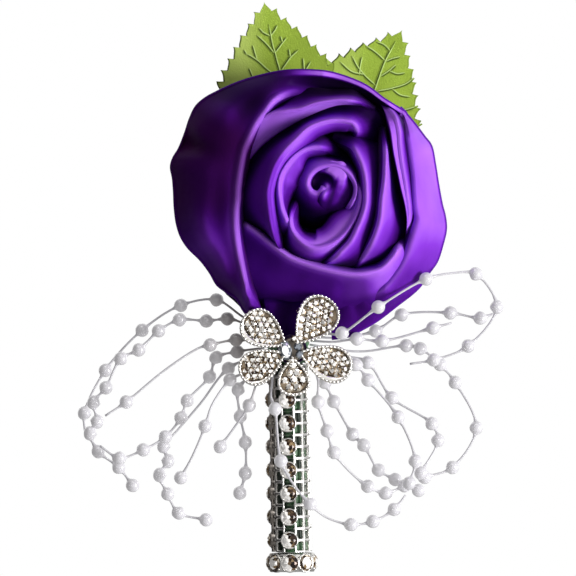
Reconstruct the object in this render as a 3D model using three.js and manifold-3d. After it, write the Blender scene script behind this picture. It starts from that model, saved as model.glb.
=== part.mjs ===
// Flower brooch: satin ribbon rose on a short wrapped stem, with leaves, a crystal ornament, sprays of
// pearl garland, and a hinged pin with a turning safety catch behind it.
// Millimetres, +Z up as worn, front towards -Y, origin in the middle of the rear face of the pin bar.
import * as THREE from "three";
import Module from "manifold-3d";
import * as BufferGeometryUtils from "three/addons/utils/BufferGeometryUtils.js";

const wasm = await Module();
wasm.setup();

// Driving sizes of the flower head
const ROSE_RADIUS = 30;
const ROSE_X = 3.1;
const ROSE_Z = -1.5;
const ROSE_BACK = 7;
const ROSE_FRONT = 28.5;
const FOLD_GAP = 0.35;
const FOLD_ROLL = 1.1;
const BUD_WALL = 1.4;
const BASE_RADIUS = 19;
const BASE_THICKNESS = 1.4;
const BASE_SIDES = 24;
const TURN_STEP = 7.5;

// Driving sizes of the leaves
const LEAF_LENGTH = 44;
const LEAF_WIDTH = 31;
const LEAF_THICKNESS = 0.5;
const LEAF_CUP = 0.6;
const LEAF_TOOTH = 1.1;
const LEAF_PITCH = 2.3;
const LEFT_TIP_X = -9.7;
const LEFT_TIP_Z = 40.3;
const RIGHT_TIP_X = 20.9;
const RIGHT_TIP_Z = 34.1;
const LEFT_LEAF_DEGREES = 99;
const RIGHT_LEAF_DEGREES = 62;
const LEFT_LEAF_BACK = 3.9;
const RIGHT_LEAF_BACK = 2.4;

// Driving sizes of the stem, which hangs from the lower edge of the rose
const STEM_X = -4.4;
const STEM_DEPTH = 8;
const STEM_GAP = 0.53;
const STEM_LEAN_DEGREES = 0.95;
const STEM_SIDES = 16;
const CORE_RADIUS = 2.5;
const RIBBON_THICKNESS = 0.4;
const RIBBON_LAP = 0.15;
const RIBBON_WRAP = 6.4;
const MESH_THICKNESS = 0.7;
const MESH_START = 10.7;
const MESH_ROW = 2.58;
const MESH_ROWS = 16;
const MESH_BAR = 0.62;
const MESH_SIDES = 4;
const STONE_COLUMN_DEGREES = 34;
const WINDOW_COLUMN_DEGREES = 28;
const STONE_DIAMETER = 3.4;
const STONE_HEIGHT = 1.2;
const STONE_PITCH = 5.16;
const STONE_SIDES = 10;
const STUD_SIDES = 6;
const CUP_SIDES = 8;
const END_CAP_LENGTH = 4.22;
const END_STONE_DIAMETER = 4;
const END_STONES = 8;
const CUP_WALL = 0.25;
const SEAT_GAP = 0.3;

// Driving sizes of the neck binding
const BINDING_THICKNESS = 1;
const BINDING_LENGTH = 9;
const BINDING_START = 1.3;
const BINDING_TURNS = 4;
const BINDING_SIDES = 20;

// Driving sizes of the ornament
const ORNAMENT_ASIDE = 0.9;
const ORNAMENT_DROP = 7.3;
const PETAL_LENGTH = 12.8;
const PETAL_WIDTH = 8.6;
const PETAL_RIM = 0.9;
const RIM_HEIGHT = 2.2;
const PLATE_THICKNESS = 0.8;
const BED_THICKNESS = 0.5;
const CRYSTAL_DIAMETER = 1.7;
const CRYSTAL_HEIGHT = 0.8;
const CRYSTAL_PITCH = 1.95;
const MILL_DEPTH = 0.25;
const MILL_PITCH = 1.5;
const CENTRE_STONE_DIAMETER = 4;
const CENTRE_STONE_HEIGHT = 1.7;
const HUB_DIAMETER = 5.4;
const HUB_HEIGHT = 1.6;
const PAD_DIAMETER = 8;
const PAD_THICKNESS = 1.95;
const CRYSTAL_SIDES = 6;
const CENTRE_STONE_SIDES = 8;
const DROP_STEPS = 18;

// Driving sizes of the pearl garland
const PEARL_DIAMETER = 3;
const LINE_DIAMETER = 0.5;
const LINE_STEP = 8;
const LINE_SIDES = 5;
const ROUTE_SAMPLES = 400;
const GARLAND_DEPTH = 20;

// Driving sizes of the felt disc and the pin
const FELT_RADIUS = 17;
const FELT_THICKNESS = 1.2;
const FELT_SIDES = 32;
const BAR_LENGTH = 30;
const BAR_HEIGHT = 5;
const BAR_THICKNESS = 0.8;
const SEWING_HOLE = 1.5;
const SEWING_SPACING = 14;
const HOLE_SIDES = 12;
const ARC_SEGMENTS = 8;
const PIN_RISE = 4.9;
const NEEDLE_DIAMETER = 1;
const NEEDLE_POINT = 3.5;
const NEEDLE_SIDES = 10;
const RIVET_X = -12.6;
const RIVET_DIAMETER = 0.9;
const RIVET_HEAD = 2;
const HEAD_THICKNESS = 0.4;
const EYE_DIAMETER = 2.8;
const EYE_WIDTH = 1.1;
const EYE_SIDES = 20;
const EAR_THICKNESS = 0.7;
const EAR_WIDTH = 3.2;
const RUNNING_GAP = 0.25;
const CATCH_X = 12;
const CATCH_LENGTH = 2.2;
const ROLLER_LENGTH = 4;
const ROLLER_DIAMETER = 3.8;
const CATCH_WALL = 0.7;
const CATCH_OPENING_DEGREES = 55;
const CATCH_FOOT = 2.4;
const ROLLER_BORE_GAP = 0.35;
const TAB_DEGREES = 50;
const TAB_WIDTH = 1.2;
const TAB_REACH = 1.5;
const TAB_THICKNESS = 0.7;

// Finishes
const satin = new THREE.MeshStandardMaterial({ color: 0x4a1590, roughness: 0.35, metalness: 0 });
const leafCloth = new THREE.MeshStandardMaterial({ color: 0x86b03b, roughness: 0.8, metalness: 0 });
const silver = new THREE.MeshStandardMaterial({ color: 0xd8d5ce, roughness: 0.2, metalness: 1 });
const crystal = new THREE.MeshStandardMaterial({ color: 0xcfc8bc, roughness: 0.05, metalness: 0 });
const pearl = new THREE.MeshStandardMaterial({ color: 0xf4f2f4, roughness: 0.25, metalness: 0 });
const greenRibbon = new THREE.MeshStandardMaterial({ color: 0x2f7040, roughness: 0.4, metalness: 0 });
const felt = new THREE.MeshStandardMaterial({ color: 0x2a1540, roughness: 0.95, metalness: 0 });
const rod = new THREE.MeshStandardMaterial({ color: 0xc9b48c, roughness: 0.7, metalness: 0 });
const steel = new THREE.MeshStandardMaterial({ color: 0xbfc2c6, roughness: 0.3, metalness: 1 });

const brooch = new THREE.Group();

function addPiece(parent, name, geometry, material) {
  const mesh = new THREE.Mesh(geometry, material);
  mesh.name = name;
  parent.add(mesh);
  return mesh;
}

// Turns a list of places and a list of triangles into a geometry
function meshGeometry(places, triangles) {
  const geometry = new THREE.BufferGeometry();
  const numbers = places.flatMap((p) => [p.x, p.y, p.z]);
  geometry.setAttribute("position", new THREE.Float32BufferAttribute(numbers, 3));
  geometry.setIndex(triangles);
  return geometry;
}

// Skins a row of rings with equal numbers of points and closes both ends
function loft(rings, outline) {
  const count = rings[0].length;
  const places = rings.flat();
  const triangles = [];
  for (let row = 0; row + 1 < rings.length; row += 1) {
    for (let i = 0; i < count; i += 1) {
      const next = (i + 1) % count;
      const a = row * count + i;
      const b = row * count + next;
      triangles.push(a, a + count, b, b, a + count, b + count);
    }
  }
  for (const row of [0, rings.length - 1]) {
    const flat = outline(row);
    const keep = THREE.ShapeUtils.isClockWise(flat) === (row > 0);
    for (const [a, b, c] of THREE.ShapeUtils.triangulateShape(flat, [])) {
      const corners = keep ? [a, b, c] : [a, c, b];
      triangles.push(...corners.map((corner) => row * count + corner));
    }
  }
  return outward(meshGeometry(places, triangles));
}

// Turns a closed geometry right side out
function outward(geometry) {
  const place = geometry.getAttribute("position");
  const index = geometry.getIndex().array;
  const a = new THREE.Vector3();
  const b = new THREE.Vector3();
  const c = new THREE.Vector3();
  let volume = 0;
  for (let i = 0; i < index.length; i += 3) {
    a.fromBufferAttribute(place, index[i]);
    b.fromBufferAttribute(place, index[i + 1]);
    c.fromBufferAttribute(place, index[i + 2]);
    volume += a.dot(b.cross(c));
  }
  if (volume < 0) {
    const turned = [];
    for (let i = 0; i < index.length; i += 3) {
      turned.push(index[i], index[i + 2], index[i + 1]);
    }
    geometry.setIndex(turned);
  }
  return geometry;
}

function merged(geometry) {
  const bare = geometry.clone();
  bare.deleteAttribute("normal");
  bare.deleteAttribute("uv");
  return BufferGeometryUtils.mergeVertices(bare);
}

function solid(geometry) {
  const closed = merged(geometry);
  return new wasm.Manifold(
    new wasm.Mesh({
      numProp: 3,
      vertProperties: new Float32Array(closed.getAttribute("position").array),
      triVerts: new Uint32Array(closed.getIndex().array),
    }),
  );
}

function fromSolid(body) {
  const mesh = body.getMesh();
  const geometry = new THREE.BufferGeometry();
  const places = [];
  for (let i = 0; i < mesh.vertProperties.length; i += mesh.numProp) {
    places.push(mesh.vertProperties[i], mesh.vertProperties[i + 1], mesh.vertProperties[i + 2]);
  }
  geometry.setAttribute("position", new THREE.Float32BufferAttribute(places, 3));
  geometry.setIndex(Array.from(mesh.triVerts));
  return geometry;
}

function join(geometries) {
  return geometries.map(solid).reduce((whole, piece) => whole.add(piece));
}

function smoothstep(from, to, value) {
  return THREE.MathUtils.smoothstep(value, from, to);
}

// Smooth reading of a table of [place, share] rows
function reader(rows) {
  const places = rows.map((row) => row[0]);
  const values = rows.map((row) => row[1]);
  const curve = new THREE.CubicInterpolant(places, values, 1);
  return (place) => curve.evaluate(place)[0];
}

// Rose: folds of one ribbon, read as rim radius against angle round the bud, anticlockwise in degrees.
// Height shares run from the back of the rose to its front, the drop is how far the fold's face falls
// from its rim to where it slips under the next fold.
const folds = [
  {
    name: "rose_fold_1",
    rimShares: [[-172.5, 0.17], [-155, 0.24], [-142.5, 0.3], [-127.5, 0.36], [-98, 0.41], [-82.5, 0.38],
      [-67.5, 0.33], [-45, 0.3], [-22.5, 0.29], [0, 0.3], [15, 0.3], [45, 0.275]],
    heightShare: 0.86,
    dropShare: 0.22,
  },
  {
    name: "rose_fold_2",
    rimShares: [[22.5, 0.33], [45, 0.31], [67.5, 0.31], [82.5, 0.33], [112.5, 0.34], [142.5, 0.33],
      [187.5, 0.32], [202.5, 0.33], [217.5, 0.345]],
    heightShare: 0.9,
    dropShare: 0.3,
  },
  {
    name: "rose_fold_3",
    rimShares: [[-82.5, 0.51], [-67.5, 0.45], [-52.5, 0.4], [-37.5, 0.36], [-15, 0.345], [0, 0.35],
      [22.5, 0.37], [37.5, 0.385], [52.5, 0.41], [82.5, 0.42]],
    heightShare: 0.92,
    dropShare: 0.3,
  },
  {
    name: "rose_fold_4",
    rimShares: [[60, 0.51], [67.5, 0.555], [82.5, 0.53], [97.5, 0.49], [112.5, 0.45], [127.5, 0.42],
      [150, 0.4], [180, 0.4], [202.5, 0.425], [217.5, 0.465], [225, 0.495]],
    heightShare: 1,
    dropShare: 0.3,
  },
  {
    name: "rose_fold_5",
    rimShares: [[-60, 0.585], [-45, 0.53], [-30, 0.49], [-15, 0.455], [0, 0.445], [15, 0.475],
      [30, 0.54], [45, 0.64]],
    heightShare: 0.93,
    dropShare: 0.42,
  },
  {
    name: "rose_fold_6",
    rimShares: [[60, 0.7], [75, 0.665], [90, 0.61], [97.5, 0.57], [112.5, 0.55], [127.5, 0.545],
      [142.5, 0.555], [157.5, 0.585]],
    heightShare: 0.9,
    dropShare: 0.34,
  },
  {
    name: "rose_fold_7",
    rimShares: [[202.5, 0.63], [210, 0.575], [225, 0.53], [240, 0.535], [255, 0.54], [270, 0.56],
      [285, 0.61], [300, 0.685], [315, 0.72], [330, 0.7]],
    heightShare: 0.72,
    dropShare: 0.55,
    fallShares: [0.75, 0.93],
  },
  {
    name: "rose_fold_8",
    rimShares: [[-22.5, 0.67], [-15, 0.63], [0, 0.58], [15, 0.57], [30, 0.6], [45, 0.7], [52.5, 0.76]],
    heightShare: 0.8,
    dropShare: 0.22,
  },
];
const petals = [
  {
    name: "outer_petal_right",
    rimShares: [[-82.5, 0.81], [-75, 0.815], [-60, 0.85], [-45, 0.81], [-30, 0.765], [-15, 0.72],
      [0, 0.69], [15, 0.7], [30, 0.745], [37.5, 0.775], [45, 0.79]],
    edgeShares: [[-82.5, 1.05], [-67.5, 1.02], [-52.5, 0.99], [-37.5, 0.975], [-22.5, 0.95],
      [-7.5, 0.89], [0, 0.86], [15, 0.84], [30, 0.84], [45, 0.82]],
    heightShares: [[-82.5, 0.24], [-75, 0.28], [-67.5, 0.38], [-55, 0.53], [-30, 0.64], [0, 0.68], [45, 0.68]],
    cupFrom: -180,
    cupTo: -180,
  },
  {
    name: "outer_petal_left",
    rimShares: [[52.5, 0.79], [60, 0.75], [75, 0.715], [90, 0.7], [97.5, 0.73], [105, 0.77], [120, 0.755],
      [135, 0.7], [150, 0.66], [165, 0.635], [180, 0.63], [195, 0.66], [210, 0.725], [217.5, 0.77],
      [225, 0.83], [232.5, 0.9]],
    edgeShares: [[52.5, 0.82], [60, 0.82], [75, 0.85], [90, 0.87], [112.5, 0.935], [127.5, 1], [135, 1.05],
      [145, 1.11], [157.5, 1.085], [167, 1.11], [175, 1.09], [190, 1.08], [202.5, 1.05],
      [210, 1.01], [225, 1.01], [232.5, 1]],
    heightShares: [[52.5, 0.78], [90, 0.8], [150, 0.86], [190, 0.84], [232.5, 0.62]],
    cupFrom: 75,
    cupTo: 112.5,
  },
];
const BOTTOM_EDGE_SHARE = 0.93;
const EDGE_DEPTH_SHARE = 0.3;
const CREVICE_SHARE = 0.34;
const CUP_RIM_SHARE = 0.62;
const HEART_SHARE = 0.3;
const SHOULDER_SHARE = 0.3;
const acrossShares = [0.4, 0.75];
const foldFallShares = [0.3, 0.65];
const domeShares = [0.85, 0.5];
const cupShares = [0.4, 0.85];
const UNDERCUT_SHARE = 0.62;
const TUCK_SHARE = 0.05;
const FOOT_SHARE = 0.12;
const roseDepth = ROSE_FRONT - ROSE_BACK;

for (const petal of petals) {
  petal.edge = reader(petal.edgeShares);
  petal.height = reader(petal.heightShares);
}
for (const fold of [...folds, ...petals]) {
  fold.from = fold.rimShares[0][0];
  fold.to = fold.rimShares[fold.rimShares.length - 1][0];
  fold.rim = reader(fold.rimShares);
}

// Rim radius share of a fold at an angle given in any turn, or null where it has no rim
function rimAt(fold, angle) {
  for (const turned of [angle - 360, angle, angle + 360]) {
    if (turned >= fold.from && turned <= fold.to) {
      return fold.rim(turned);
    }
  }
  return null;
}

// Smallest rim radius outside a given one, looked for one step to each side as well
function nextRim(own, angle) {
  let nearest = Infinity;
  for (const turned of [angle - TURN_STEP, angle, angle + TURN_STEP]) {
    const inside = rimAt(own, turned) ?? rimAt(own, angle);
    for (const fold of [...folds, ...petals]) {
      const rim = fold === own ? null : rimAt(fold, turned);
      if (rim !== null && rim > inside) {
        nearest = Math.min(nearest, rim);
      }
    }
  }
  return nearest;
}

// Place on the rose from a radius, a height above its back and an angle
function rosePlace(radius, height, angle) {
  const turn = THREE.MathUtils.degToRad(angle);
  return new THREE.Vector3(
    ROSE_X + radius * Math.cos(turn),
    -ROSE_BACK - height,
    ROSE_Z + radius * Math.sin(turn),
  );
}

// Cross section of an inner fold, as [radius, height] from its inner foot round to its outer foot
function foldSection(fold, angle) {
  const inner = rimAt(fold, angle) * ROSE_RADIUS;
  const limit = Math.min(nextRim(fold, angle), BOTTOM_EDGE_SHARE);
  const outer = limit * ROSE_RADIUS - FOLD_GAP;
  const width = outer - inner;
  const roll = Math.min(FOLD_ROLL, width / 2);
  const top = fold.heightShare * roseDepth;
  const drop = fold.dropShare * roseDepth;
  const fall = fold.fallShares ?? foldFallShares;
  const face = acrossShares.map((share, i) => [inner + roll + (width - roll) * share, top - drop * fall[i]]);
  return [
    [inner, 0],
    [inner, top - roll],
    [inner + roll * SHOULDER_SHARE, top - roll * SHOULDER_SHARE],
    [inner + roll, top],
    ...face,
    [outer, top - drop],
    [outer, 0],
  ];
}

// Cross section of an outer petal, whose rim moves to its outer edge where the petal is a cup
function petalSection(petal, angle) {
  const inner = rimAt(petal, angle) * ROSE_RADIUS;
  const outer = petal.edge(angle) * ROSE_RADIUS;
  const width = outer - inner;
  const roll = Math.min(FOLD_ROLL, width / 3);
  const top = petal.height(angle) * roseDepth;
  const edge = Math.min(EDGE_DEPTH_SHARE * roseDepth, top);
  const crevice = CREVICE_SHARE * roseDepth;
  const cupRim = CUP_RIM_SHARE * roseDepth;
  const cup = 1 - smoothstep(petal.cupFrom, petal.cupTo, angle);
  const mix = (domed, cupped) => domed + (cupped - domed) * cup;
  const face = acrossShares.map((share, i) => [
    inner + width * share,
    mix(edge + (top - edge) * domeShares[i], crevice + (cupRim - crevice) * cupShares[i]),
  ]);
  return [
    [inner, 0],
    [inner, mix(top - roll, crevice)],
    [inner + roll, mix(top, crevice + roll)],
    ...face,
    [outer, mix(edge, cupRim)],
    [outer - width * TUCK_SHARE, mix(edge * UNDERCUT_SHARE, edge)],
    [inner + width * FOOT_SHARE, 0],
  ];
}

function sweptFold(fold, section) {
  const rings = [];
  const outlines = [];
  for (let angle = fold.from; angle <= fold.to; angle += TURN_STEP) {
    const points = section(fold, angle);
    outlines.push(points.map(([radius, height]) => new THREE.Vector2(radius, height)));
    rings.push(points.map(([radius, height]) => rosePlace(radius, height, angle)));
  }
  return loft(rings, (row) => outlines[row]);
}

// Bud: one strip of ribbon rolled into a curl that stands on the heart of the rose
const budCurlShares = [[0.02, 0.075], [-0.045, 0.06], [-0.075, 0.005], [-0.11, 0.06], [-0.05, 0.155],
  [0.03, 0.19], [0.11, 0.185], [0.18, 0.14], [0.225, 0.05], [0.215, -0.06], [0.16, -0.15], [0.08, -0.2]];
const BUD_STEPS = 26;
const BUD_TOP_SHARE = 0.88;
const BUD_FALL_SHARE = 0.1;

function budCurl() {
  const path = new THREE.CatmullRomCurve3(
    budCurlShares.map(([x, z]) => new THREE.Vector3(x * ROSE_RADIUS, 0, z * ROSE_RADIUS)),
  );
  const foot = HEART_SHARE * roseDepth + SEAT_GAP;
  const rings = [];
  const outlines = [];
  for (let step = 0; step <= BUD_STEPS; step += 1) {
    const along = step / BUD_STEPS;
    const place = path.getPoint(along);
    const ahead = path.getTangent(along);
    const across = new THREE.Vector3(ahead.z, 0, -ahead.x).normalize();
    const top = (BUD_TOP_SHARE - BUD_FALL_SHARE * along) * roseDepth;
    const half = BUD_WALL / 2;
    const section = [[-half, foot], [-half, top - half], [0, top], [half, top - half], [half, foot]];
    outlines.push(section.map(([side, height]) => new THREE.Vector2(side, height)));
    rings.push(
      section.map(
        ([side, height]) =>
          new THREE.Vector3(
            ROSE_X + place.x + across.x * side,
            -ROSE_BACK - height,
            ROSE_Z + place.z + across.z * side,
          ),
      ),
    );
  }
  return loft(rings, (row) => outlines[row]);
}

// Heart: the sewn core that fills the space inside the innermost folds
function heart() {
  const low = [];
  const high = [];
  for (let angle = 0; angle < 360; angle += TURN_STEP * 2) {
    let inside = Infinity;
    for (const steps of [-2, -1, 0, 1, 2]) {
      for (const fold of folds) {
        inside = Math.min(inside, rimAt(fold, angle + steps * TURN_STEP) ?? Infinity);
      }
    }
    const radius = inside * ROSE_RADIUS - FOLD_GAP;
    low.push(rosePlace(radius, 0, angle));
    high.push(rosePlace(radius, HEART_SHARE * roseDepth, angle));
  }
  const outline = low.map((place) => new THREE.Vector2(place.x, place.z));
  return loft([low, high], () => outline);
}

// Flat outline in the XZ plane made a plate from one depth towards the front
function plate(shape, back, thickness) {
  const options = { depth: thickness, bevelEnabled: false, curveSegments: ARC_SEGMENTS };
  const geometry = new THREE.ExtrudeGeometry(shape, options);
  geometry.rotateX(Math.PI / 2);
  geometry.translate(0, -back, 0);
  return geometry;
}

function disc(x, z, radius, sides) {
  const shape = new THREE.Shape();
  for (let i = 0; i < sides; i += 1) {
    const turn = (i / sides) * 2 * Math.PI;
    const place = [x + radius * Math.cos(turn), z + radius * Math.sin(turn)];
    if (i === 0) {
      shape.moveTo(...place);
    } else {
      shape.lineTo(...place);
    }
  }
  shape.closePath();
  return shape;
}

function rose() {
  const group = new THREE.Group();
  const baseBack = ROSE_BACK - BASE_THICKNESS;
  const base = disc(ROSE_X, ROSE_Z, BASE_RADIUS, BASE_SIDES);
  addPiece(group, "rose_base", plate(base, baseBack, BASE_THICKNESS), satin);
  addPiece(group, "rose_heart", heart(), satin);
  addPiece(group, "bud_curl", budCurl(), satin);
  for (const fold of folds) {
    addPiece(group, fold.name, sweptFold(fold, foldSection), satin);
  }
  for (const petal of petals) {
    addPiece(group, petal.name, sweptFold(petal, petalSection), satin);
  }
  return group;
}

// Leaf: saw-toothed outline round a midrib, cupped towards the front at its edges
const leafWidthShares = [[0, 0.03], [0.1, 0.3], [0.2, 0.55], [0.3, 0.76], [0.4, 0.91], [0.5, 0.99], [0.6, 1],
  [0.7, 0.93], [0.8, 0.77], [0.9, 0.5], [1, 0.12]];
const leafHalfWidth = reader(leafWidthShares);
const TOOTH_POINT_SHARE = 0.2;

function leaf(tipX, tipZ, direction, back) {
  const teeth = Math.round(LEAF_LENGTH / LEAF_PITCH);
  const reach = LEAF_WIDTH / 2;
  const stations = [];
  for (let tooth = 0; tooth < teeth; tooth += 1) {
    const notch = tooth / teeth;
    const point = (tooth + TOOTH_POINT_SHARE) / teeth;
    stations.push([notch, leafHalfWidth(notch) * reach]);
    if (tooth > 0) {
      stations.push([point, leafHalfWidth(point) * reach + LEAF_TOOTH]);
    }
  }
  const turn = THREE.MathUtils.degToRad(direction);
  const place = (along, side, depth) => {
    const down = along * LEAF_LENGTH;
    const cup = LEAF_CUP * Math.min(1, (side / reach) ** 2);
    return new THREE.Vector3(
      tipX - down * Math.cos(turn) - side * Math.sin(turn),
      -back - cup - depth,
      tipZ - down * Math.sin(turn) + side * Math.cos(turn),
    );
  };
  const section = (half) => [[half, 0], [0, 0], [-half, 0], [-half, LEAF_THICKNESS], [0, LEAF_THICKNESS],
    [half, LEAF_THICKNESS]];
  const rings = stations.map(([along, half]) => {
    return section(half).map(([side, depth]) => place(along, side, depth));
  });
  const outline = (row) => section(stations[row][1]).map(([side, depth]) => new THREE.Vector2(side, depth));
  return loft(rings, outline);
}

// Round bar along Z between two heights
function roundBar(radius, low, high, sides) {
  const section = disc(0, 0, radius, sides);
  const geometry = new THREE.ExtrudeGeometry(section, { depth: high - low, bevelEnabled: false });
  geometry.translate(0, 0, low);
  return geometry;
}

// Profile of [radius, height] points revolved about Z
function turnedAboutZ(profile, segments) {
  const points = profile.map(([radius, height]) => new THREE.Vector2(radius, height));
  const geometry = new THREE.LatheGeometry(points, segments);
  geometry.rotateX(Math.PI / 2);
  return outward(merged(geometry));
}

// Stem: rod, ribbon wound round it, silver mesh with stones, end cap. Heights are below the stem's top.
const ribbonInner = CORE_RADIUS + SEAT_GAP;
const ribbonOuter = ribbonInner + RIBBON_THICKNESS;
const meshInner = ribbonOuter + RIBBON_LAP + SEAT_GAP;
const meshOuter = meshInner + MESH_THICKNESS;
const meshLength = MESH_ROW * MESH_ROWS;
const meshTop = -MESH_START;
const meshBottom = meshTop - meshLength;
const bottomEdge = BOTTOM_EDGE_SHARE * ROSE_RADIUS;
const stemTop = ROSE_Z - Math.sqrt(bottomEdge ** 2 - (ROSE_X - STEM_X) ** 2) - STEM_GAP;

function ribbonWrap() {
  const bottom = meshBottom - SEAT_GAP;
  const wraps = Math.round(-bottom / RIBBON_WRAP);
  const pitch = -bottom / wraps;
  const profile = [[ribbonInner, bottom]];
  for (let wrap = 0; wrap < wraps; wrap += 1) {
    profile.push([ribbonOuter, bottom + wrap * pitch]);
    profile.push([ribbonOuter + RIBBON_LAP, bottom + (wrap + 1) * pitch]);
  }
  profile.push([ribbonInner, 0], [ribbonInner, bottom]);
  return turnedAboutZ(profile, STEM_SIDES);
}

// Mesh sleeve: bars with a raised ridge round each window, and plain strips that carry the stones
function meshLattice() {
  const columns = [];
  const stoneStrip = { width: STONE_COLUMN_DEGREES, open: false };
  const windowStrip = { width: WINDOW_COLUMN_DEGREES, open: true };
  let turn = -90 - STONE_COLUMN_DEGREES / 2;
  for (let side = 0; side < MESH_SIDES; side += 1) {
    for (const strip of [stoneStrip, windowStrip, windowStrip]) {
      columns.push({ from: turn, ...strip });
      turn += strip.width;
    }
  }
  const places = [];
  const triangles = [];
  const at = (radius, degrees, height) => {
    const angle = THREE.MathUtils.degToRad(degrees);
    places.push(new THREE.Vector3(radius * Math.cos(angle), radius * Math.sin(angle), height));
    return places.length - 1;
  };
  const quad = (a, b, c, d) => triangles.push(a, b, c, a, c, d);
  const inset = MESH_BAR / 2;
  const insetDegrees = THREE.MathUtils.radToDeg(inset / meshInner);
  const ridge = [];
  const inner = [];
  for (let row = 0; row <= MESH_ROWS; row += 1) {
    ridge.push(columns.map((column) => at(meshOuter, column.from, meshTop - row * MESH_ROW)));
  }
  for (let row = 0; row < MESH_ROWS; row += 1) {
    const high = meshTop - row * MESH_ROW - (row === 0 ? 0 : inset);
    const low = meshTop - (row + 1) * MESH_ROW + (row === MESH_ROWS - 1 ? 0 : inset);
    inner.push(
      columns.map((column) => {
        const left = column.from + insetDegrees;
        const right = column.from + column.width - insetDegrees;
        return {
          tl: at(meshInner, left, high),
          tr: at(meshInner, right, high),
          bl: at(meshInner, left, low),
          br: at(meshInner, right, low),
        };
      }),
    );
  }
  const count = columns.length;
  for (let row = 0; row < MESH_ROWS; row += 1) {
    for (let i = 0; i < count; i += 1) {
      const next = (i + 1) % count;
      const cell = inner[row][i];
      const beside = inner[row][next];
      const [topLeft, topRight] = [ridge[row][i], ridge[row][next]];
      const [lowLeft, lowRight] = [ridge[row + 1][i], ridge[row + 1][next]];
      const open = columns[i].open && row > 0 && row < MESH_ROWS - 1;
      if (open) {
        quad(topLeft, cell.tl, cell.tr, topRight);
        quad(topLeft, lowLeft, cell.bl, cell.tl);
        quad(lowLeft, lowRight, cell.br, cell.bl);
        quad(lowRight, topRight, cell.tr, cell.br);
      } else {
        quad(topLeft, lowLeft, lowRight, topRight);
        quad(cell.tl, cell.tr, cell.br, cell.bl);
      }
      quad(cell.tr, beside.tl, beside.bl, cell.br);
      if (row === 0) {
        quad(topLeft, topRight, cell.tr, cell.tl);
        triangles.push(cell.tr, topRight, beside.tl);
      }
      if (row === MESH_ROWS - 1) {
        quad(lowRight, lowLeft, cell.bl, cell.br);
        triangles.push(lowRight, cell.br, beside.bl);
      } else {
        const under = inner[row + 1][i];
        const underBeside = inner[row + 1][next];
        quad(cell.bl, cell.br, under.tr, under.tl);
        quad(cell.br, beside.bl, underBeside.tl, under.tr);
      }
    }
  }
  return outward(meshGeometry(places, triangles));
}

// Faceted stone or cup on the side of the stem, its axis pointing away from the stem
function sideStud(lowRadius, highRadius, from, to, degrees, height, sides) {
  const geometry = roundStud(lowRadius, highRadius, from, to, sides);
  geometry.rotateX(Math.PI / 2);
  geometry.rotateZ(THREE.MathUtils.degToRad(degrees + 90));
  geometry.translate(0, 0, height);
  return geometry;
}

// Tapered round stud along Z
function roundStud(lowRadius, highRadius, from, to, sides) {
  const geometry = new THREE.CylinderGeometry(highRadius, lowRadius, to - from, sides, 1);
  geometry.rotateX(Math.PI / 2);
  geometry.translate(0, 0, (from + to) / 2);
  return merged(geometry);
}

const cupRadius = STONE_DIAMETER / 2 + CUP_WALL;
const cupTop = meshOuter + CUP_WALL;
const stoneRows = Math.round(meshLength / STONE_PITCH);
const stoneHeight = (row) => meshTop - (row + 0.5) * STONE_PITCH;
const STONE_TABLE_SHARE = 0.55;
const STONE_CROWN_SHARE = 0.75;
const END_CROWN_SHARE = 0.6;
const crownHeight = STONE_HEIGHT * STONE_CROWN_SHARE;

function meshSleeve() {
  let body = solid(meshLattice());
  const sunk = meshInner + MESH_THICKNESS / 4;
  const wide = STONE_DIAMETER / 2;
  const table = wide * STONE_TABLE_SHARE;
  for (let row = 0; row < stoneRows; row += 1) {
    for (let side = 0; side < MESH_SIDES; side += 1) {
      const degrees = -90 + (side / MESH_SIDES) * 360;
      const height = stoneHeight(row);
      const stud = side === 0
        ? sideStud(cupRadius, cupRadius, sunk, cupTop, degrees, height, CUP_SIDES)
        : sideStud(wide, table, sunk, cupTop + crownHeight, degrees, height, STUD_SIDES);
      body = body.add(solid(stud));
    }
  }
  return fromSolid(body);
}

function frontStone(height, diameter, seat) {
  const low = seat + SEAT_GAP;
  const wide = diameter / 2;
  return sideStud(wide, wide * STONE_TABLE_SHARE, low, low + crownHeight, -90, height, STONE_SIDES);
}

function endCap() {
  const top = meshBottom - SEAT_GAP;
  const bottom = top - END_CAP_LENGTH;
  const middle = (top + bottom) / 2;
  const wide = meshOuter + CUP_WALL;
  const profile = [[0, bottom], [meshInner, bottom], [wide, bottom + CUP_WALL * 2], [wide, top], [0, top]];
  const stone = END_STONE_DIAMETER / 2;
  const high = wide + STONE_HEIGHT * END_CROWN_SHARE;
  let body = solid(turnedAboutZ(profile, STEM_SIDES));
  for (let i = 1; i < END_STONES; i += 1) {
    const degrees = -90 + (i / END_STONES) * 360;
    const stud = sideStud(stone, stone * STONE_TABLE_SHARE, meshInner, high, degrees, middle, STUD_SIDES);
    body = body.add(solid(stud));
  }
  return fromSolid(body);
}

function stem() {
  const group = new THREE.Group();
  group.position.set(STEM_X, -STEM_DEPTH, stemTop);
  group.rotation.y = -THREE.MathUtils.degToRad(STEM_LEAN_DEGREES);
  addPiece(group, "stem_core", roundBar(CORE_RADIUS, meshBottom - SEAT_GAP / 3, 0, STEM_SIDES), rod);
  addPiece(group, "stem_ribbon", ribbonWrap(), greenRibbon);
  addPiece(group, "mesh_sleeve", meshSleeve(), silver);
  addPiece(group, "end_cap", endCap(), silver);
  for (let row = 0; row < stoneRows; row += 1) {
    addPiece(group, `front_stone_${row + 1}`, frontStone(stoneHeight(row), STONE_DIAMETER, cupTop), crystal);
  }
  const capMiddle = meshBottom - SEAT_GAP - END_CAP_LENGTH / 2;
  addPiece(group, "end_stone", frontStone(capMiddle, END_STONE_DIAMETER, meshOuter + CUP_WALL), crystal);
  addPiece(group, "neck_binding", neckBinding(), greenRibbon);
  return group;
}

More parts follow.
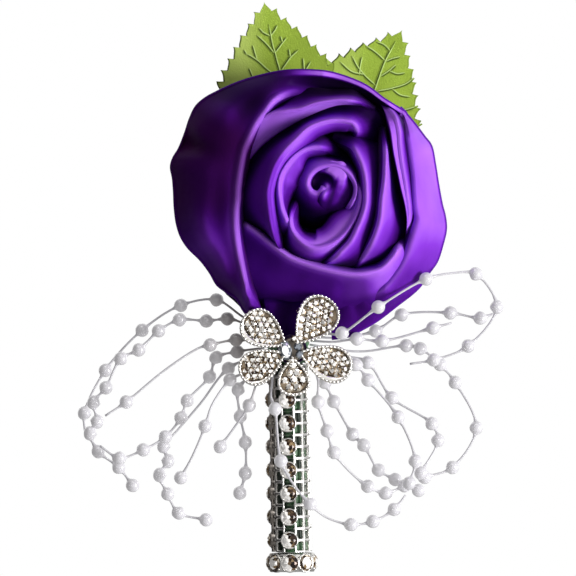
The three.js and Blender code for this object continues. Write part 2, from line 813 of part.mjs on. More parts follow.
// Neck binding: turns of cord that hold the sprays to the stem, as one wound sleeve
const bindingInner = ribbonOuter + RIBBON_LAP + SEAT_GAP;
const bindingOuter = bindingInner + BINDING_THICKNESS;

function neckBinding() {
  const top = -BINDING_START;
  const turn = BINDING_LENGTH / BINDING_TURNS;
  const profile = [[bindingInner, top - BINDING_LENGTH]];
  for (let i = 0; i < BINDING_TURNS; i += 1) {
    const low = top - BINDING_LENGTH + i * turn;
    profile.push([bindingOuter - turn / 4, low], [bindingOuter, low + turn / 2]);
  }
  profile.push([bindingOuter - turn / 4, top], [bindingInner, top], [bindingInner, top - BINDING_LENGTH]);
  return turnedAboutZ(profile, BINDING_SIDES);
}

// Ornament: five drop-shaped petals with milled rims round a hub, a bed of crystals in each petal
const ornamentPetals = [
  { name: "upper_right", degrees: 52.5, lengthShare: 1.1, widthShare: 1.08 },
  { name: "upper_left", degrees: 146, lengthShare: 1.01, widthShare: 0.98 },
  { name: "lower_left", degrees: 207, lengthShare: 1, widthShare: 0.9 },
  { name: "bottom", degrees: 273, lengthShare: 0.8, widthShare: 0.84 },
  { name: "right", degrees: -20, lengthShare: 1.08, widthShare: 0.96 },
];
const DROP_WIDEST_SHARE = 0.77;
const ornamentX = STEM_X + ORNAMENT_ASIDE;
const ornamentZ = stemTop - ORNAMENT_DROP;
const padBack = STEM_DEPTH + bindingOuter + SEAT_GAP;
const ornamentBack = padBack + PAD_THICKNESS;

// Drop outline from its point at one distance from the centre to its round end at another
function dropShape(petal, from, inset, mill) {
  const to = PETAL_LENGTH * petal.lengthShare - inset;
  const wide = (PETAL_WIDTH * petal.widthShare) / 2 - inset;
  const steps = mill > 0 ? Math.round((Math.PI * (to - from)) / MILL_PITCH) * 2 : DROP_STEPS;
  const turn = THREE.MathUtils.degToRad(petal.degrees);
  const points = [];
  for (let i = 0; i < steps; i += 1) {
    const t = (i / steps) * 2 * Math.PI;
    const out = i % 2 === 0 ? 0 : mill;
    const along = from + ((to - from + out) * (1 - Math.cos(t))) / 2;
    const side = (-(wide + out) * Math.sin(t) * Math.sin(t / 2)) / DROP_WIDEST_SHARE;
    points.push(
      new THREE.Vector2(
        ornamentX + along * Math.cos(turn) - side * Math.sin(turn),
        ornamentZ + along * Math.sin(turn) + side * Math.cos(turn),
      ),
    );
  }
  return new THREE.Shape(points);
}

const hubRadius = HUB_DIAMETER / 2;
const bedFrom = hubRadius + PETAL_RIM;

function jewelSetting() {
  const pieces = [plate(disc(ornamentX, ornamentZ, hubRadius, BASE_SIDES), ornamentBack, HUB_HEIGHT)];
  for (const petal of ornamentPetals) {
    const rim = dropShape(petal, CENTRE_STONE_DIAMETER / 2 + SEAT_GAP, 0, MILL_DEPTH);
    rim.holes.push(dropShape(petal, bedFrom, PETAL_RIM, 0));
    pieces.push(plate(rim, ornamentBack, RIM_HEIGHT));
    pieces.push(plate(dropShape(petal, hubRadius, PETAL_RIM / 2, 0), ornamentBack, PLATE_THICKNESS));
  }
  return fromSolid(join(pieces));
}

// Bed of crystals: a thin plate in the petal with rows of faceted crystals set into it
const FIRST_CRYSTAL_SHARE = 0.8;
const CRYSTAL_EDGE_SHARE = 0.45;

function crystalBed(petal) {
  const bedBack = ornamentBack + PLATE_THICKNESS;
  const inset = PETAL_RIM + SEAT_GAP;
  let body = solid(plate(dropShape(petal, bedFrom + SEAT_GAP, inset, 0), bedBack, BED_THICKNESS));
  const turn = THREE.MathUtils.degToRad(petal.degrees);
  const end = PETAL_LENGTH * petal.lengthShare - inset - CRYSTAL_DIAMETER / 2;
  const start = bedFrom + SEAT_GAP + CRYSTAL_DIAMETER * FIRST_CRYSTAL_SHARE;
  const rows = Math.floor((end - start) / CRYSTAL_PITCH);
  const wide = (PETAL_WIDTH * petal.widthShare) / 2 - inset;
  const span = PETAL_LENGTH * petal.lengthShare - inset - bedFrom - SEAT_GAP;
  for (let row = 0; row <= rows; row += 1) {
    const along = end - row * CRYSTAL_PITCH;
    const t = Math.acos(1 - (2 * (along - bedFrom - SEAT_GAP)) / span);
    const edge = CRYSTAL_DIAMETER * CRYSTAL_EDGE_SHARE;
    const half = (wide * Math.sin(t) * Math.sin(t / 2)) / DROP_WIDEST_SHARE - edge;
    const across = Math.max(0, Math.floor((2 * half) / CRYSTAL_PITCH));
    for (let i = 0; i <= across; i += 1) {
      const side = (i - across / 2) * CRYSTAL_PITCH;
      const shape = disc(
        ornamentX + along * Math.cos(turn) - side * Math.sin(turn),
        ornamentZ + along * Math.sin(turn) + side * Math.cos(turn),
        CRYSTAL_DIAMETER / 2,
        CRYSTAL_SIDES,
      );
      body = body.add(solid(plate(shape, bedBack + BED_THICKNESS / 2, CRYSTAL_HEIGHT)));
    }
  }
  return fromSolid(body);
}

function centreStone() {
  const wide = CENTRE_STONE_DIAMETER / 2;
  const geometry = roundStud(wide, wide * STONE_TABLE_SHARE, 0, CENTRE_STONE_HEIGHT, CENTRE_STONE_SIDES);
  geometry.rotateX(Math.PI / 2);
  geometry.translate(ornamentX, -ornamentBack - HUB_HEIGHT, ornamentZ);
  return outward(geometry);
}

function ornament() {
  const group = new THREE.Group();
  const pad = disc(ornamentX, ornamentZ, PAD_DIAMETER / 2, BASE_SIDES);
  addPiece(group, "ornament_pad", plate(pad, padBack, PAD_THICKNESS), felt);
  addPiece(group, "jewel_setting", jewelSetting(), silver);
  for (const petal of ornamentPetals) {
    addPiece(group, `crystal_bed_${petal.name}`, crystalBed(petal), crystal);
  }
  addPiece(group, "centre_stone", centreStone(), crystal);
  return group;
}

// Pearl garland: stiff clear line with pearls moulded on it. Each line starts on the neck binding, at an
// angle round the stem in degrees and a picture row. Its route points are picture column, picture row,
// share of the garland's depth in front of the stem's axis, and 1 where a pearl sits.
const picture = { roseRadius: 136.36, neckColumn: 288, neckRow: 316.36 };
const garland = [
  {
    name: "pearl_spray_left_1",
    start: [180, 331],
    route: [
      [241, 316, -0.125, 0], [216, 300, -0.175, 1], [180, 305.5, -0.2, 1], [141, 330.5, -0.2, 1],
      [104, 371, -0.2, 1], [83, 414, -0.175, 1], [84, 436, -0.15, 0],
    ],
  },
  {
    name: "pearl_spray_left_2",
    start: [191, 337],
    route: [
      [240, 322, 0.075, 0], [227, 319, 0.05, 1], [206, 321, 0.025, 1], [179, 320, 0, 1],
      [158, 331, 0, 1], [138, 350, 0, 1], [120, 359, 0, 1], [105, 388, 0.025, 1], [93, 403, 0.05, 1],
      [96, 422, 0.05, 1], [89.5, 434, 0.05, 1], [97.5, 452, 0.05, 1], [118, 468, 0.075, 1],
      [132, 486, 0.1, 1],
    ],
  },
  {
    name: "pearl_spray_left_3",
    start: [203, 343],
    route: [
      [236, 340, 0.2, 1], [210, 345, 0.225, 1], [199, 348, 0.225, 0], [165, 370, 0.225, 0],
      [126, 402, 0.25, 1], [105, 416, 0.275, 0],
    ],
  },
  {
    name: "pearl_spray_left_4",
    start: [180, 348],
    route: [
      [237, 352, 0, 1], [216, 358, 0.025, 1], [209, 377, 0.05, 1], [187, 401, 0.1, 1],
      [180.5, 418, 0.15, 1], [165, 437, 0.2, 1], [143, 450, 0.25, 1], [119, 458, 0.275, 1],
      [100, 446, 0.3, 0],
    ],
  },
  {
    name: "pearl_spray_left_5",
    start: [145, 352],
    route: [
      [228, 369, -0.2, 1], [200, 404, -0.2, 0], [176, 432, -0.175, 0], [163, 447, -0.1, 1],
      [167, 462, -0.075, 1], [159, 476, -0.05, 1], [167, 495, -0.05, 1], [178, 514, -0.05, 1],
      [205.5, 521, -0.05, 1],
    ],
  },
  {
    name: "pearl_spray_left_6",
    start: [186, 355],
    route: [
      [246, 372, 0.1, 0], [230, 380, 0.225, 1], [212, 405, 0.3, 0], [205, 426, 0.35, 1],
      [193, 455, 0.3, 0], [180.5, 478, 0.2, 1],
    ],
  },
  {
    name: "pearl_spray_left_7",
    start: [169, 360],
    route: [
      [250, 376, -0.1, 0], [238, 390, -0.1, 1], [240, 417, -0.1, 1], [245, 443, -0.075, 1],
      [245, 474, -0.05, 1], [239.5, 494, -0.05, 1],
    ],
  },
  {
    name: "pearl_spray_left_8",
    start: [209, 361],
    route: [
      [257, 382, 0.225, 0], [249, 405.5, 0.25, 1], [234, 428, 0.2, 0], [220, 447, 0.15, 1],
    ],
  },
  {
    name: "pearl_spray_front",
    start: [235, 360],
    route: [
      [272, 384, 0.29, 0], [271, 398, 0.31, 0], [275, 409, 0.345, 1], [281, 461, 0.39, 1],
      [294, 485, 0.38, 0], [310, 504, 0.325, 0], [327, 518, 0.225, 1], [351, 525, 0.2, 1],
      [373, 522, 0.15, 1], [394.5, 510, 0.1, 1], [406, 496, 0.075, 0],
    ],
  },
  {
    name: "pearl_spray_right_1",
    start: [-17, 333],
    route: [
      [328, 334, 0.25, 0], [342, 333, 0.4, 1], [378, 307, 0.545, 1], [426, 279, 0.425, 1],
      [454, 273, 0.325, 0], [476, 274, 0.25, 1], [497, 307, 0.2, 1], [468.5, 346, 0.2, 1],
      [434, 360, 0.225, 1], [410, 364, 0.25, 0],
    ],
  },
  {
    name: "pearl_spray_right_2",
    start: [17, 337],
    route: [
      [340, 338, -0.1, 0], [376, 331, -0.075, 1], [402, 315, -0.05, 1], [451, 313, 0, 1],
      [481, 318, 0.025, 1], [494, 314, 0.025, 0],
    ],
  },
  {
    name: "pearl_spray_right_3",
    start: [-11, 341],
    route: [
      [335, 342, 0.15, 0], [357, 339, 0.2, 1], [382, 341, 0.2, 1], [433, 328, 0.225, 1],
      [452, 323, 0.225, 0],
    ],
  },
  {
    name: "pearl_spray_right_4",
    start: [23, 345],
    route: [
      [360, 352, -0.175, 0], [407, 346, -0.15, 1], [421, 349, -0.125, 1], [441, 365, -0.075, 1],
      [456, 383, -0.05, 1], [477, 428.5, 0, 1], [453, 468, 0.05, 1], [425, 478, 0.1, 1],
    ],
  },
  {
    name: "pearl_spray_right_5",
    start: [-5, 350],
    route: [
      [345, 356, 0.04, 0], [368, 363, 0.05, 1], [392, 398, 0.125, 1], [432, 424, 0.2, 1],
      [438, 440.5, 0.225, 1], [421, 473, 0.325, 1],
    ],
  },
  {
    name: "pearl_spray_right_6",
    start: [-35, 354],
    route: [
      [335, 362, 0.225, 0], [356, 365, 0.26, 1], [368, 380, 0.275, 1], [398, 417, 0.325, 1],
      [415, 461, 0.4, 1], [409, 483, 0.45, 1],
    ],
  },
  {
    name: "pearl_spray_right_7",
    start: [-23, 359],
    route: [
      [318, 380, 0.175, 0], [318, 402, 0.25, 1], [327, 431, 0.275, 1], [334, 452.5, 0.25, 1],
      [350, 472, 0.175, 0], [368, 487, 0.05, 1], [386, 494, -0.025, 1], [405, 487, -0.075, 1],
    ],
  },
  {
    name: "pearl_spray_right_8",
    start: [17, 360],
    route: [
      [325, 383, -0.1, 1], [334, 402, -0.075, 1], [353, 435, -0.05, 1], [364, 446, 0, 1],
      [379, 471, -0.125, 1], [396, 481, -0.225, 1], [419.5, 492, -0.25, 1],
    ],
  },
];
const pearlRingShares = [0.15, 0.5, 0.85];
const pictureScale = ROSE_RADIUS / picture.roseRadius;

// Tube along a route, swelling into a pearl wherever one sits
function pearlSpray(start, route) {
  const [degrees, startRow] = start;
  const reach = bindingOuter + SEAT_GAP + LINE_DIAMETER / 2;
  const turn = THREE.MathUtils.degToRad(degrees);
  const rowHeight = (row) => stemTop + (picture.neckRow - row) * pictureScale;
  const columnPlace = (column) => STEM_X + (column - picture.neckColumn) * pictureScale;
  const places = route.map(([column, row, aheadShare]) => {
    return new THREE.Vector3(columnPlace(column), -STEM_DEPTH - aheadShare * GARLAND_DEPTH, rowHeight(row));
  });
  const root = new THREE.Vector3(
    STEM_X + reach * Math.cos(turn),
    -STEM_DEPTH + reach * Math.sin(turn),
    rowHeight(startRow),
  );
  places.unshift(root);
  const curve = new THREE.CatmullRomCurve3(places, false, "centripetal");
  const length = curve.getLength();
  const marks = [];
  const table = curve.getSpacedPoints(ROUTE_SAMPLES);
  const nearest = (place) => {
    let best = 0;
    table.forEach((point, i) => {
      if (point.distanceTo(place) < table[best].distanceTo(place)) {
        best = i;
      }
    });
    return (best / ROUTE_SAMPLES) * length;
  };
  const thin = LINE_DIAMETER / 2;
  const bead = PEARL_DIAMETER / 2;
  const pearls = route.flatMap((point, i) => (point[3] === 1 ? [nearest(places[i + 1])] : []));
  const ends = [0, ...pearls, length];
  for (let i = 0; i + 1 < ends.length; i += 1) {
    const from = ends[i] + (i > 0 ? bead : 0);
    const to = Math.min(length, ends[i + 1] - (i + 1 < ends.length - 1 ? bead : 0));
    const parts = Math.max(1, Math.round((to - from) / LINE_STEP));
    if (to - from > thin) {
      for (let k = 0; k <= parts; k += 1) {
        marks.push([from + ((to - from) * k) / parts, thin]);
      }
    }
    if (i + 1 < ends.length - 1) {
      for (const share of pearlRingShares) {
        const off = (share - 0.5) * PEARL_DIAMETER;
        marks.push([ends[i + 1] + off, Math.sqrt(bead * bead - off * off)]);
      }
    }
  }
  const inOrder = marks.filter(([s]) => s >= 0).sort((a, b) => a[0] - b[0]);
  const used = inOrder.filter(([s], i) => i === 0 || s - inOrder[i - 1][0] > thin / 4);
  return tube(curve, used.map(([s, radius]) => [s / length, radius]), LINE_SIDES);
}

// Ring at each [share along, radius] of a curve, held upright so that the tube doesn't twist
function tube(curve, marks, sides) {
  const rings = [];
  let normal = new THREE.Vector3(0, 1, 0);
  const flat = [];
  for (const [along, radius] of marks) {
    const at = Math.min(1, along);
    const place = curve.getPointAt(at);
    const ahead = curve.getTangentAt(at);
    normal = normal.clone().addScaledVector(ahead, -normal.dot(ahead)).normalize();
    const side = new THREE.Vector3().crossVectors(ahead, normal);
    const ring = [];
    for (let i = 0; i < sides; i += 1) {
      const turn = (i / sides) * 2 * Math.PI;
      ring.push(
        place
          .clone()
          .addScaledVector(normal, radius * Math.cos(turn))
          .addScaledVector(side, radius * Math.sin(turn)),
      );
    }
    rings.push(ring);
  }
  for (let i = 0; i < sides; i += 1) {
    const turn = (i / sides) * 2 * Math.PI;
    flat.push(new THREE.Vector2(Math.cos(turn), Math.sin(turn)));
  }
  return loft(rings, () => flat);
}

// Pin: bar with hinge ears and catch bracket, rivet, needle and turning safety roller
function pinBar() {
  const half = BAR_LENGTH / 2 - BAR_HEIGHT / 2;
  const outline = new THREE.Shape();
  outline.absarc(half, 0, BAR_HEIGHT / 2, -Math.PI / 2, Math.PI / 2, false);
  outline.absarc(-half, 0, BAR_HEIGHT / 2, Math.PI / 2, (3 * Math.PI) / 2, false);
  for (const side of [-1, 1]) {
    outline.holes.push(disc((side * SEWING_SPACING) / 2, 0, SEWING_HOLE / 2, HOLE_SIDES));
  }
  const pieces = [plate(outline, 0, BAR_THICKNESS)];
  const earHalf = EAR_WIDTH / 2;
  for (const side of [-1, 1]) {
    const ear = new THREE.Shape();
    ear.moveTo(RIVET_X - earHalf, -BAR_THICKNESS / 2);
    ear.lineTo(RIVET_X + earHalf, -BAR_THICKNESS / 2);
    ear.lineTo(RIVET_X + earHalf, PIN_RISE);
    ear.absarc(RIVET_X, PIN_RISE, earHalf, 0, Math.PI, false);
    ear.closePath();
    ear.holes.push(disc(RIVET_X, PIN_RISE, RIVET_DIAMETER / 2 + RUNNING_GAP, HOLE_SIDES));
    const geometry = new THREE.ExtrudeGeometry(ear, {
      depth: EAR_THICKNESS,
      bevelEnabled: false,
      curveSegments: ARC_SEGMENTS,
    });
    const inside = EYE_WIDTH / 2 + RUNNING_GAP;
    geometry.translate(0, 0, side > 0 ? inside : -inside - EAR_THICKNESS);
    pieces.push(geometry);
  }
  const inner = ROLLER_DIAMETER / 2 + RUNNING_GAP;
  const outer = inner + CATCH_WALL;
  const opening = THREE.MathUtils.degToRad(CATCH_OPENING_DEGREES);
  pieces.push(alongX(openRing(inner, outer, opening), CATCH_X - CATCH_LENGTH / 2, CATCH_LENGTH));
  const footTop = PIN_RISE - inner - CATCH_WALL / 2;
  const foot = new THREE.BoxGeometry(CATCH_LENGTH, footTop + BAR_THICKNESS / 2, CATCH_FOOT);
  foot.translate(CATCH_X, (footTop - BAR_THICKNESS / 2) / 2, 0);
  pieces.push(foot);
  return fromSolid(join(pieces));
}

// Ring round the needle's axis, open by a given half angle on the side away from the bar
function openRing(inner, outer, innerOpening, outerOpening = innerOpening) {
  const up = Math.PI / 2;
  const shape = new THREE.Shape();
  shape.absarc(0, PIN_RISE, outer, up + outerOpening, up - outerOpening + 2 * Math.PI, false);
  shape.absarc(0, PIN_RISE, inner, up - innerOpening, up + innerOpening - 2 * Math.PI, true);
  shape.closePath();
  return shape;
}

// Outline in the YZ plane drawn out along X
function alongX(shape, from, length) {
  const options = { depth: length, bevelEnabled: false, curveSegments: HOLE_SIDES };
  const geometry = new THREE.ExtrudeGeometry(shape, options);
  geometry.rotateY(Math.PI / 2);
  geometry.translate(from, 0, 0);
  return geometry;
}

function hingeRivet() {
  const inside = EYE_WIDTH / 2 + RUNNING_GAP + EAR_THICKNESS + RUNNING_GAP;
  const end = inside + HEAD_THICKNESS;
  const shank = RIVET_DIAMETER / 2;
  const head = RIVET_HEAD / 2;
  const geometry = turnedAboutZ([[0, -end], [head, -end], [head, -inside], [shank, -inside], [shank, inside],
    [head, inside], [head, end], [0, end]], HOLE_SIDES);
  geometry.translate(RIVET_X, PIN_RISE, 0);
  return geometry;
}

function pinNeedle() {
  const hole = RIVET_DIAMETER / 2 + RUNNING_GAP;
  const eye = disc(RIVET_X, PIN_RISE, EYE_DIAMETER / 2, EYE_SIDES);
  eye.holes.push(disc(RIVET_X, PIN_RISE, hole, HOLE_SIDES));
  const ring = new THREE.ExtrudeGeometry(eye, { depth: EYE_WIDTH, bevelEnabled: false });
  ring.translate(0, 0, -EYE_WIDTH / 2);
  const tip = CATCH_X + ROLLER_LENGTH / 2 - RUNNING_GAP;
  const from = RIVET_X + (hole + EYE_DIAMETER / 2) / 2;
  const radius = NEEDLE_DIAMETER / 2;
  const shaft = turnedAboutZ([[0, from], [radius, from], [radius, tip - NEEDLE_POINT], [radius / 5, tip],
    [0, tip]], NEEDLE_SIDES);
  shaft.rotateY(Math.PI / 2);
  shaft.translate(0, PIN_RISE, 0);
  return fromSolid(join([ring, shaft]));
}

function catchRoller() {
  const outer = ROLLER_DIAMETER / 2;
  const bore = NEEDLE_DIAMETER / 2 + ROLLER_BORE_GAP;
  const slot = NEEDLE_DIAMETER / 2 + RUNNING_GAP;
  const shape = openRing(bore, outer, Math.asin(slot / bore), Math.asin(slot / outer));
  const body = alongX(shape, CATCH_X - ROLLER_LENGTH / 2, ROLLER_LENGTH);
  const low = (bore + outer) / 2;
  const tab = new THREE.BoxGeometry(TAB_THICKNESS, outer + TAB_REACH - low, TAB_WIDTH);
  tab.translate(0, (outer + TAB_REACH + low) / 2, 0);
  tab.rotateX(THREE.MathUtils.degToRad(-TAB_DEGREES));
  tab.translate(CATCH_X + ROLLER_LENGTH / 2 - TAB_THICKNESS / 2, PIN_RISE, 0);
  return fromSolid(join([body, tab]));
}

function pin() {
  const group = new THREE.Group();
  const backing = disc(ROSE_X, ROSE_Z, FELT_RADIUS, FELT_SIDES);
  addPiece(group, "felt_backing", plate(backing, BAR_THICKNESS, FELT_THICKNESS), felt);
  addPiece(group, "pin_bar", pinBar(), steel);
  addPiece(group, "hinge_rivet", hingeRivet(), steel);
  addPiece(group, "pin_needle", pinNeedle(), steel);
  addPiece(group, "catch_roller", catchRoller(), steel);
  return group;
}

brooch.add(rose());
const leftLeaf = leaf(LEFT_TIP_X, LEFT_TIP_Z, LEFT_LEAF_DEGREES, LEFT_LEAF_BACK);
const rightLeaf = leaf(RIGHT_TIP_X, RIGHT_TIP_Z, RIGHT_LEAF_DEGREES, RIGHT_LEAF_BACK);
addPiece(brooch, "leaf_left", leftLeaf, leafCloth);
addPiece(brooch, "leaf_right", rightLeaf, leafCloth);
brooch.add(stem());
brooch.add(ornament());
for (const spray of garland) {
  addPiece(brooch, spray.name, pearlSpray(spray.start, spray.route), pearl);
}
brooch.add(pin());

export default brooch;
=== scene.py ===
import math
import random

import bmesh
import bpy
from mathutils import Matrix, Vector, noise


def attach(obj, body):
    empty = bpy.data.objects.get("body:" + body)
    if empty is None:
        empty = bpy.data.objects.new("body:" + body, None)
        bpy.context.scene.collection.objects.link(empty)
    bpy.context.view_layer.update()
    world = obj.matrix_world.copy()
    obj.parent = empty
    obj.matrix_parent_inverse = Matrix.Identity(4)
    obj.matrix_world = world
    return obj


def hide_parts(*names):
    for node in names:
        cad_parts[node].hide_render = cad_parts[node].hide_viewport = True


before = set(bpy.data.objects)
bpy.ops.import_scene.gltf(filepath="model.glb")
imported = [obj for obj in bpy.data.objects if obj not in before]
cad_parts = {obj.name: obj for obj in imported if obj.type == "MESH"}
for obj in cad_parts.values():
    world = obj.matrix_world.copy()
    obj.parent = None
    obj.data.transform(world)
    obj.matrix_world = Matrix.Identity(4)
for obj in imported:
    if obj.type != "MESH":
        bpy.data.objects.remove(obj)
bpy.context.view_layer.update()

MM = 0.001

# Picture frame: how its columns and rows lie on the brooch
PIXEL = 0.22 * MM
FRAME_PIXELS = 576
MIDDLE_COLUMN = 288
MIDDLE_ROW = 288
MIDDLE_X = -4.4 * MM
MIDDLE_Z = -22.66 * MM
CAMERA_DISTANCE = 1500 * MM
FOCUS_DEPTH = -15 * MM
SENSOR = 36

# Sizes of the flower head
ROSE_X = 3.1 * MM
ROSE_Z = -1.5 * MM
ROSE_BACK = -7 * MM
ROSE_DEPTH = 21.5 * MM
ROSE_CENTRE = (322, 192)

# Sizes of the stem, which leans a little and hangs below the rose
STEM_X = -4.4 * MM
STEM_Y = -8 * MM
STEM_TOP = -28.9 * MM
STEM_LEAN = math.radians(0.95)
# Painted shade on the plated mesh: where it starts at the stem's left and how wide it fades in
MESH_SHADE_FROM = -6.2 * MM
MESH_SHADE_WIDTH = 1.4 * MM

# Depths of the fine grain of the finishes
WEAVE_DEPTH = 0.03 * MM
LEAF_GRAIN_DEPTH = 0.12 * MM
PLATING_DEPTH = 0.03 * MM
FELT_NAP_DEPTH = 0.15 * MM
WOOD_GRAIN_DEPTH = 0.05 * MM
PEARL_GLOW_DEPTH = 0.6 * MM

# Least sizes that keep a shape open, and the gap at which points merge
WELD_GAP = 0.001 * MM
POLE_RADIUS = 0.001 * MM
THINNEST = 0.01 * MM

# Pieces of a smooth path between two given points, before it is spaced evenly
PATH_PIECES = 12


# Camera
def picture_place(column, row, depth):
    """Place on the brooch that the camera sees at a column and row of the picture, at one depth"""
    spread = (depth + CAMERA_DISTANCE) / (FOCUS_DEPTH + CAMERA_DISTANCE)
    aside = (column - MIDDLE_COLUMN) * PIXEL * spread
    down = (row - MIDDLE_ROW) * PIXEL * spread
    return Vector((MIDDLE_X + aside, depth, MIDDLE_Z - down))


def make_camera():
    """Long lens on the middle of the picture, square to the brooch's front"""
    data = bpy.data.cameras.new("camera")
    data.sensor_width = SENSOR
    data.lens = SENSOR * (CAMERA_DISTANCE + FOCUS_DEPTH) / (FRAME_PIXELS * PIXEL)
    data.clip_end = CAMERA_DISTANCE * 8
    camera = bpy.data.objects.new("camera", data)
    camera.location = (MIDDLE_X, -CAMERA_DISTANCE, MIDDLE_Z)
    camera.rotation_euler = (math.radians(90), 0, 0)
    bpy.context.scene.collection.objects.link(camera)
    bpy.context.scene.camera = camera


make_camera()


# Shader and geometry trees written as sums
class Wire:
    """Socket of a tree that takes part in sums"""

    def __init__(self, sheet, socket):
        self.sheet = sheet
        self.socket = socket

    def sum(self, operation, first, second):
        return self.sheet.add(self.sheet.math_kind, {"operation": operation}, {0: first, 1: second})

    def __add__(self, other):
        return self.sum("ADD", self, other)

    def __radd__(self, other):
        return self.sum("ADD", other, self)

    def __sub__(self, other):
        return self.sum("SUBTRACT", self, other)

    def __rsub__(self, other):
        return self.sum("SUBTRACT", other, self)

    def __mul__(self, other):
        return self.sum("MULTIPLY", self, other)

    def __rmul__(self, other):
        return self.sum("MULTIPLY", other, self)

    def __truediv__(self, other):
        return self.sum("DIVIDE", self, other)

    def __pow__(self, other):
        return self.sum("POWER", self, other)


class Sheet:
    """Node tree under construction"""

    math_kind = "ShaderNodeMath"

    def __init__(self, tree):
        self.tree = tree
        self.tree.nodes.clear()

    def add(self, kind, settings, sockets, result=0):
        node = self.tree.nodes.new(kind)
        for key, value in settings.items():
            if key == "stops":
                self.set_stops(node.color_ramp, value)
            else:
                setattr(node, key, value)
        for key, value in sockets.items():
            socket = node.inputs[key]
            if isinstance(value, Wire):
                self.tree.links.new(value.socket, socket)
            else:
                socket.default_value = value
        return Wire(self, node.outputs[result])

    def set_stops(self, ramp, stops):
        while len(ramp.elements) < len(stops):
            ramp.elements.new(1)
        for element, (place, colour) in zip(ramp.elements, stops):
            element.position = place
            element.color = colour


class Finish(Sheet):
    """Material under construction"""

    def __init__(self, name):
        self.material = bpy.data.materials.new(name)
        self.material.use_nodes = True
        super().__init__(self.material.node_tree)
        self.place = self.add("ShaderNodeTexCoord", {}, {}, "Object")

    def noise(self, scale, detail=2, stretch=(1, 1, 1)):
        place = self.add("ShaderNodeMapping", {}, {"Vector": self.place, "Scale": stretch})
        return self.add("ShaderNodeTexNoise", {}, {"Vector": place, "Scale": scale, "Detail": detail})

    def attribute(self, name):
        return self.add("ShaderNodeAttribute", {"attribute_name": name}, {}, "Fac")

    def mix(self, share, first, second):
        return self.add("ShaderNodeMix", {"data_type": "RGBA"}, {0: share, 6: first, 7: second}, 2)

    def ramp(self, value, stops):
        return self.add("ShaderNodeValToRGB", {"stops": stops}, {"Fac": value})

    def bump(self, height, depth, strength=1.0):
        sockets = {"Height": height, "Distance": depth, "Strength": strength}
        return self.add("ShaderNodeBump", {}, sockets)

    def finish(self, **sockets):
        named = {key.replace("_", " "): value for key, value in sockets.items()}
        shader = self.add("ShaderNodeBsdfPrincipled", {}, named)
        self.deliver(shader)
        return self.material

    def deliver(self, shader):
        output = self.tree.nodes.new("ShaderNodeOutputMaterial")
        self.tree.links.new(shader.socket, output.inputs["Surface"])


# Finishes
def satin_finish(name, stops, gloss_tint, sheen_tint):
    """Satin ribbon: its tone follows the painted light and shade stored at each place, from painted shade in
    deep folds to painted light on crests
    """
    cloth = Finish(name)
    clouds = cloth.noise(90, 3)
    streaks = cloth.noise(420, 2, (1, 1, 0.25))
    weave = cloth.noise(1500, 2, (1, 1, 0.35))
    gloss = cloth.attribute("gloss")
    warm = cloth.attribute("warm")
    # Painted light and shade: the stored share picks the satin's tone from the ramp
    tone = cloth.ramp(gloss + (clouds - 0.5) * 0.12 + (streaks - 0.5) * 0.05, stops)
    tone = cloth.mix(warm, tone, (0.045, 0.003, 0.05, 1))
    return cloth.finish(
        Base_Color=tone,
        Roughness=clouds * 0.08 + 0.5 - gloss * 0.12,
        Metallic=0.05,
        Specular_IOR_Level=0.03,
        Specular_Tint=gloss_tint,
        Sheen_Weight=0.03,
        Sheen_Roughness=0.35,
        Sheen_Tint=sheen_tint,
        Normal=cloth.bump(weave, WEAVE_DEPTH, 0.5),
    )


def leaf_finish():
    """Printed leaf cloth: mid green with fine grain, painted shade along its pressed veins and edges, painted
    highlights beside the veins and painted light towards one side
    """
    cloth = Finish("leaf_cloth")
    grain = cloth.noise(2600, 3)
    clouds = cloth.noise(140, 3)
    vein = cloth.attribute("vein")
    edge = cloth.attribute("edge")
    glint = cloth.attribute("glint")
    tone = cloth.mix(clouds, (0.22, 0.35, 0.025, 1), (0.42, 0.60, 0.06, 1))
    tone = cloth.mix(grain * 0.9, tone, (0.42, 0.58, 0.07, 1))
    # Painted light towards one side of each leaf
    tone = cloth.mix(cloth.attribute("pale") * 0.35, tone, (0.66, 0.82, 0.2, 1))
    # Painted highlight beside each vein
    tone = cloth.mix(glint * 0.75, tone, (0.62, 0.82, 0.3, 1))
    # Painted shade in each vein's groove
    tone = cloth.mix(vein, tone, (0.05, 0.09, 0.008, 1))
    # Painted shade along the leaf's edges
    tone = cloth.mix(edge * 0.85, tone, (0.035, 0.06, 0.008, 1))
    return cloth.finish(
        Base_Color=tone,
        Roughness=0.72 + grain * 0.15,
        Specular_IOR_Level=0.25,
        Sheen_Weight=0.08,
        Sheen_Tint=(0.7, 0.9, 0.4, 1),
        Normal=cloth.bump(grain, LEAF_GRAIN_DEPTH, 0.7),
    )


def silver_finish(name, bright, dull, base_gloss, shaded=None):
    """Plated metal: tone and shine that vary at random, and painted shade towards the stem's left where a
    shaded tone is given
    """
    metal = Finish(name)
    wear = metal.noise(700, 3)
    tone = metal.mix(wear, dull, bright)
    # Painted shade towards the stem's left
    if shaded:
        across = metal.add("ShaderNodeSeparateXYZ", {}, {"Vector": metal.place}, "X")
        tone = metal.mix((MESH_SHADE_FROM - across) / MESH_SHADE_WIDTH, tone, shaded)
    return metal.finish(
        Base_Color=tone,
        Metallic=1.0,
        Roughness=wear * 0.16 + base_gloss,
        Normal=metal.bump(wear, PLATING_DEPTH, 0.4),
    )


def cut_stone_finish(name, stops):
    """Faceted glass on foil: each facet has a painted reflection, light or dark, and the lit facets a painted
    glow
    """
    stone = Finish(name)
    cut = stone.attribute("cut")
    tone = stone.ramp(cut, stops)
    # Painted glow on the brighter facets
    return stone.finish(
        Base_Color=tone,
        Metallic=cut * 0.5 + 0.2,
        Roughness=0.08,
        Specular_IOR_Level=0.3,
        Coat_Weight=cut * 0.8,
        Coat_Roughness=0.02,
        Emission_Color=stone.mix(cut * cut, (0, 0, 0, 1), tone),
        Emission_Strength=0.3,
    )


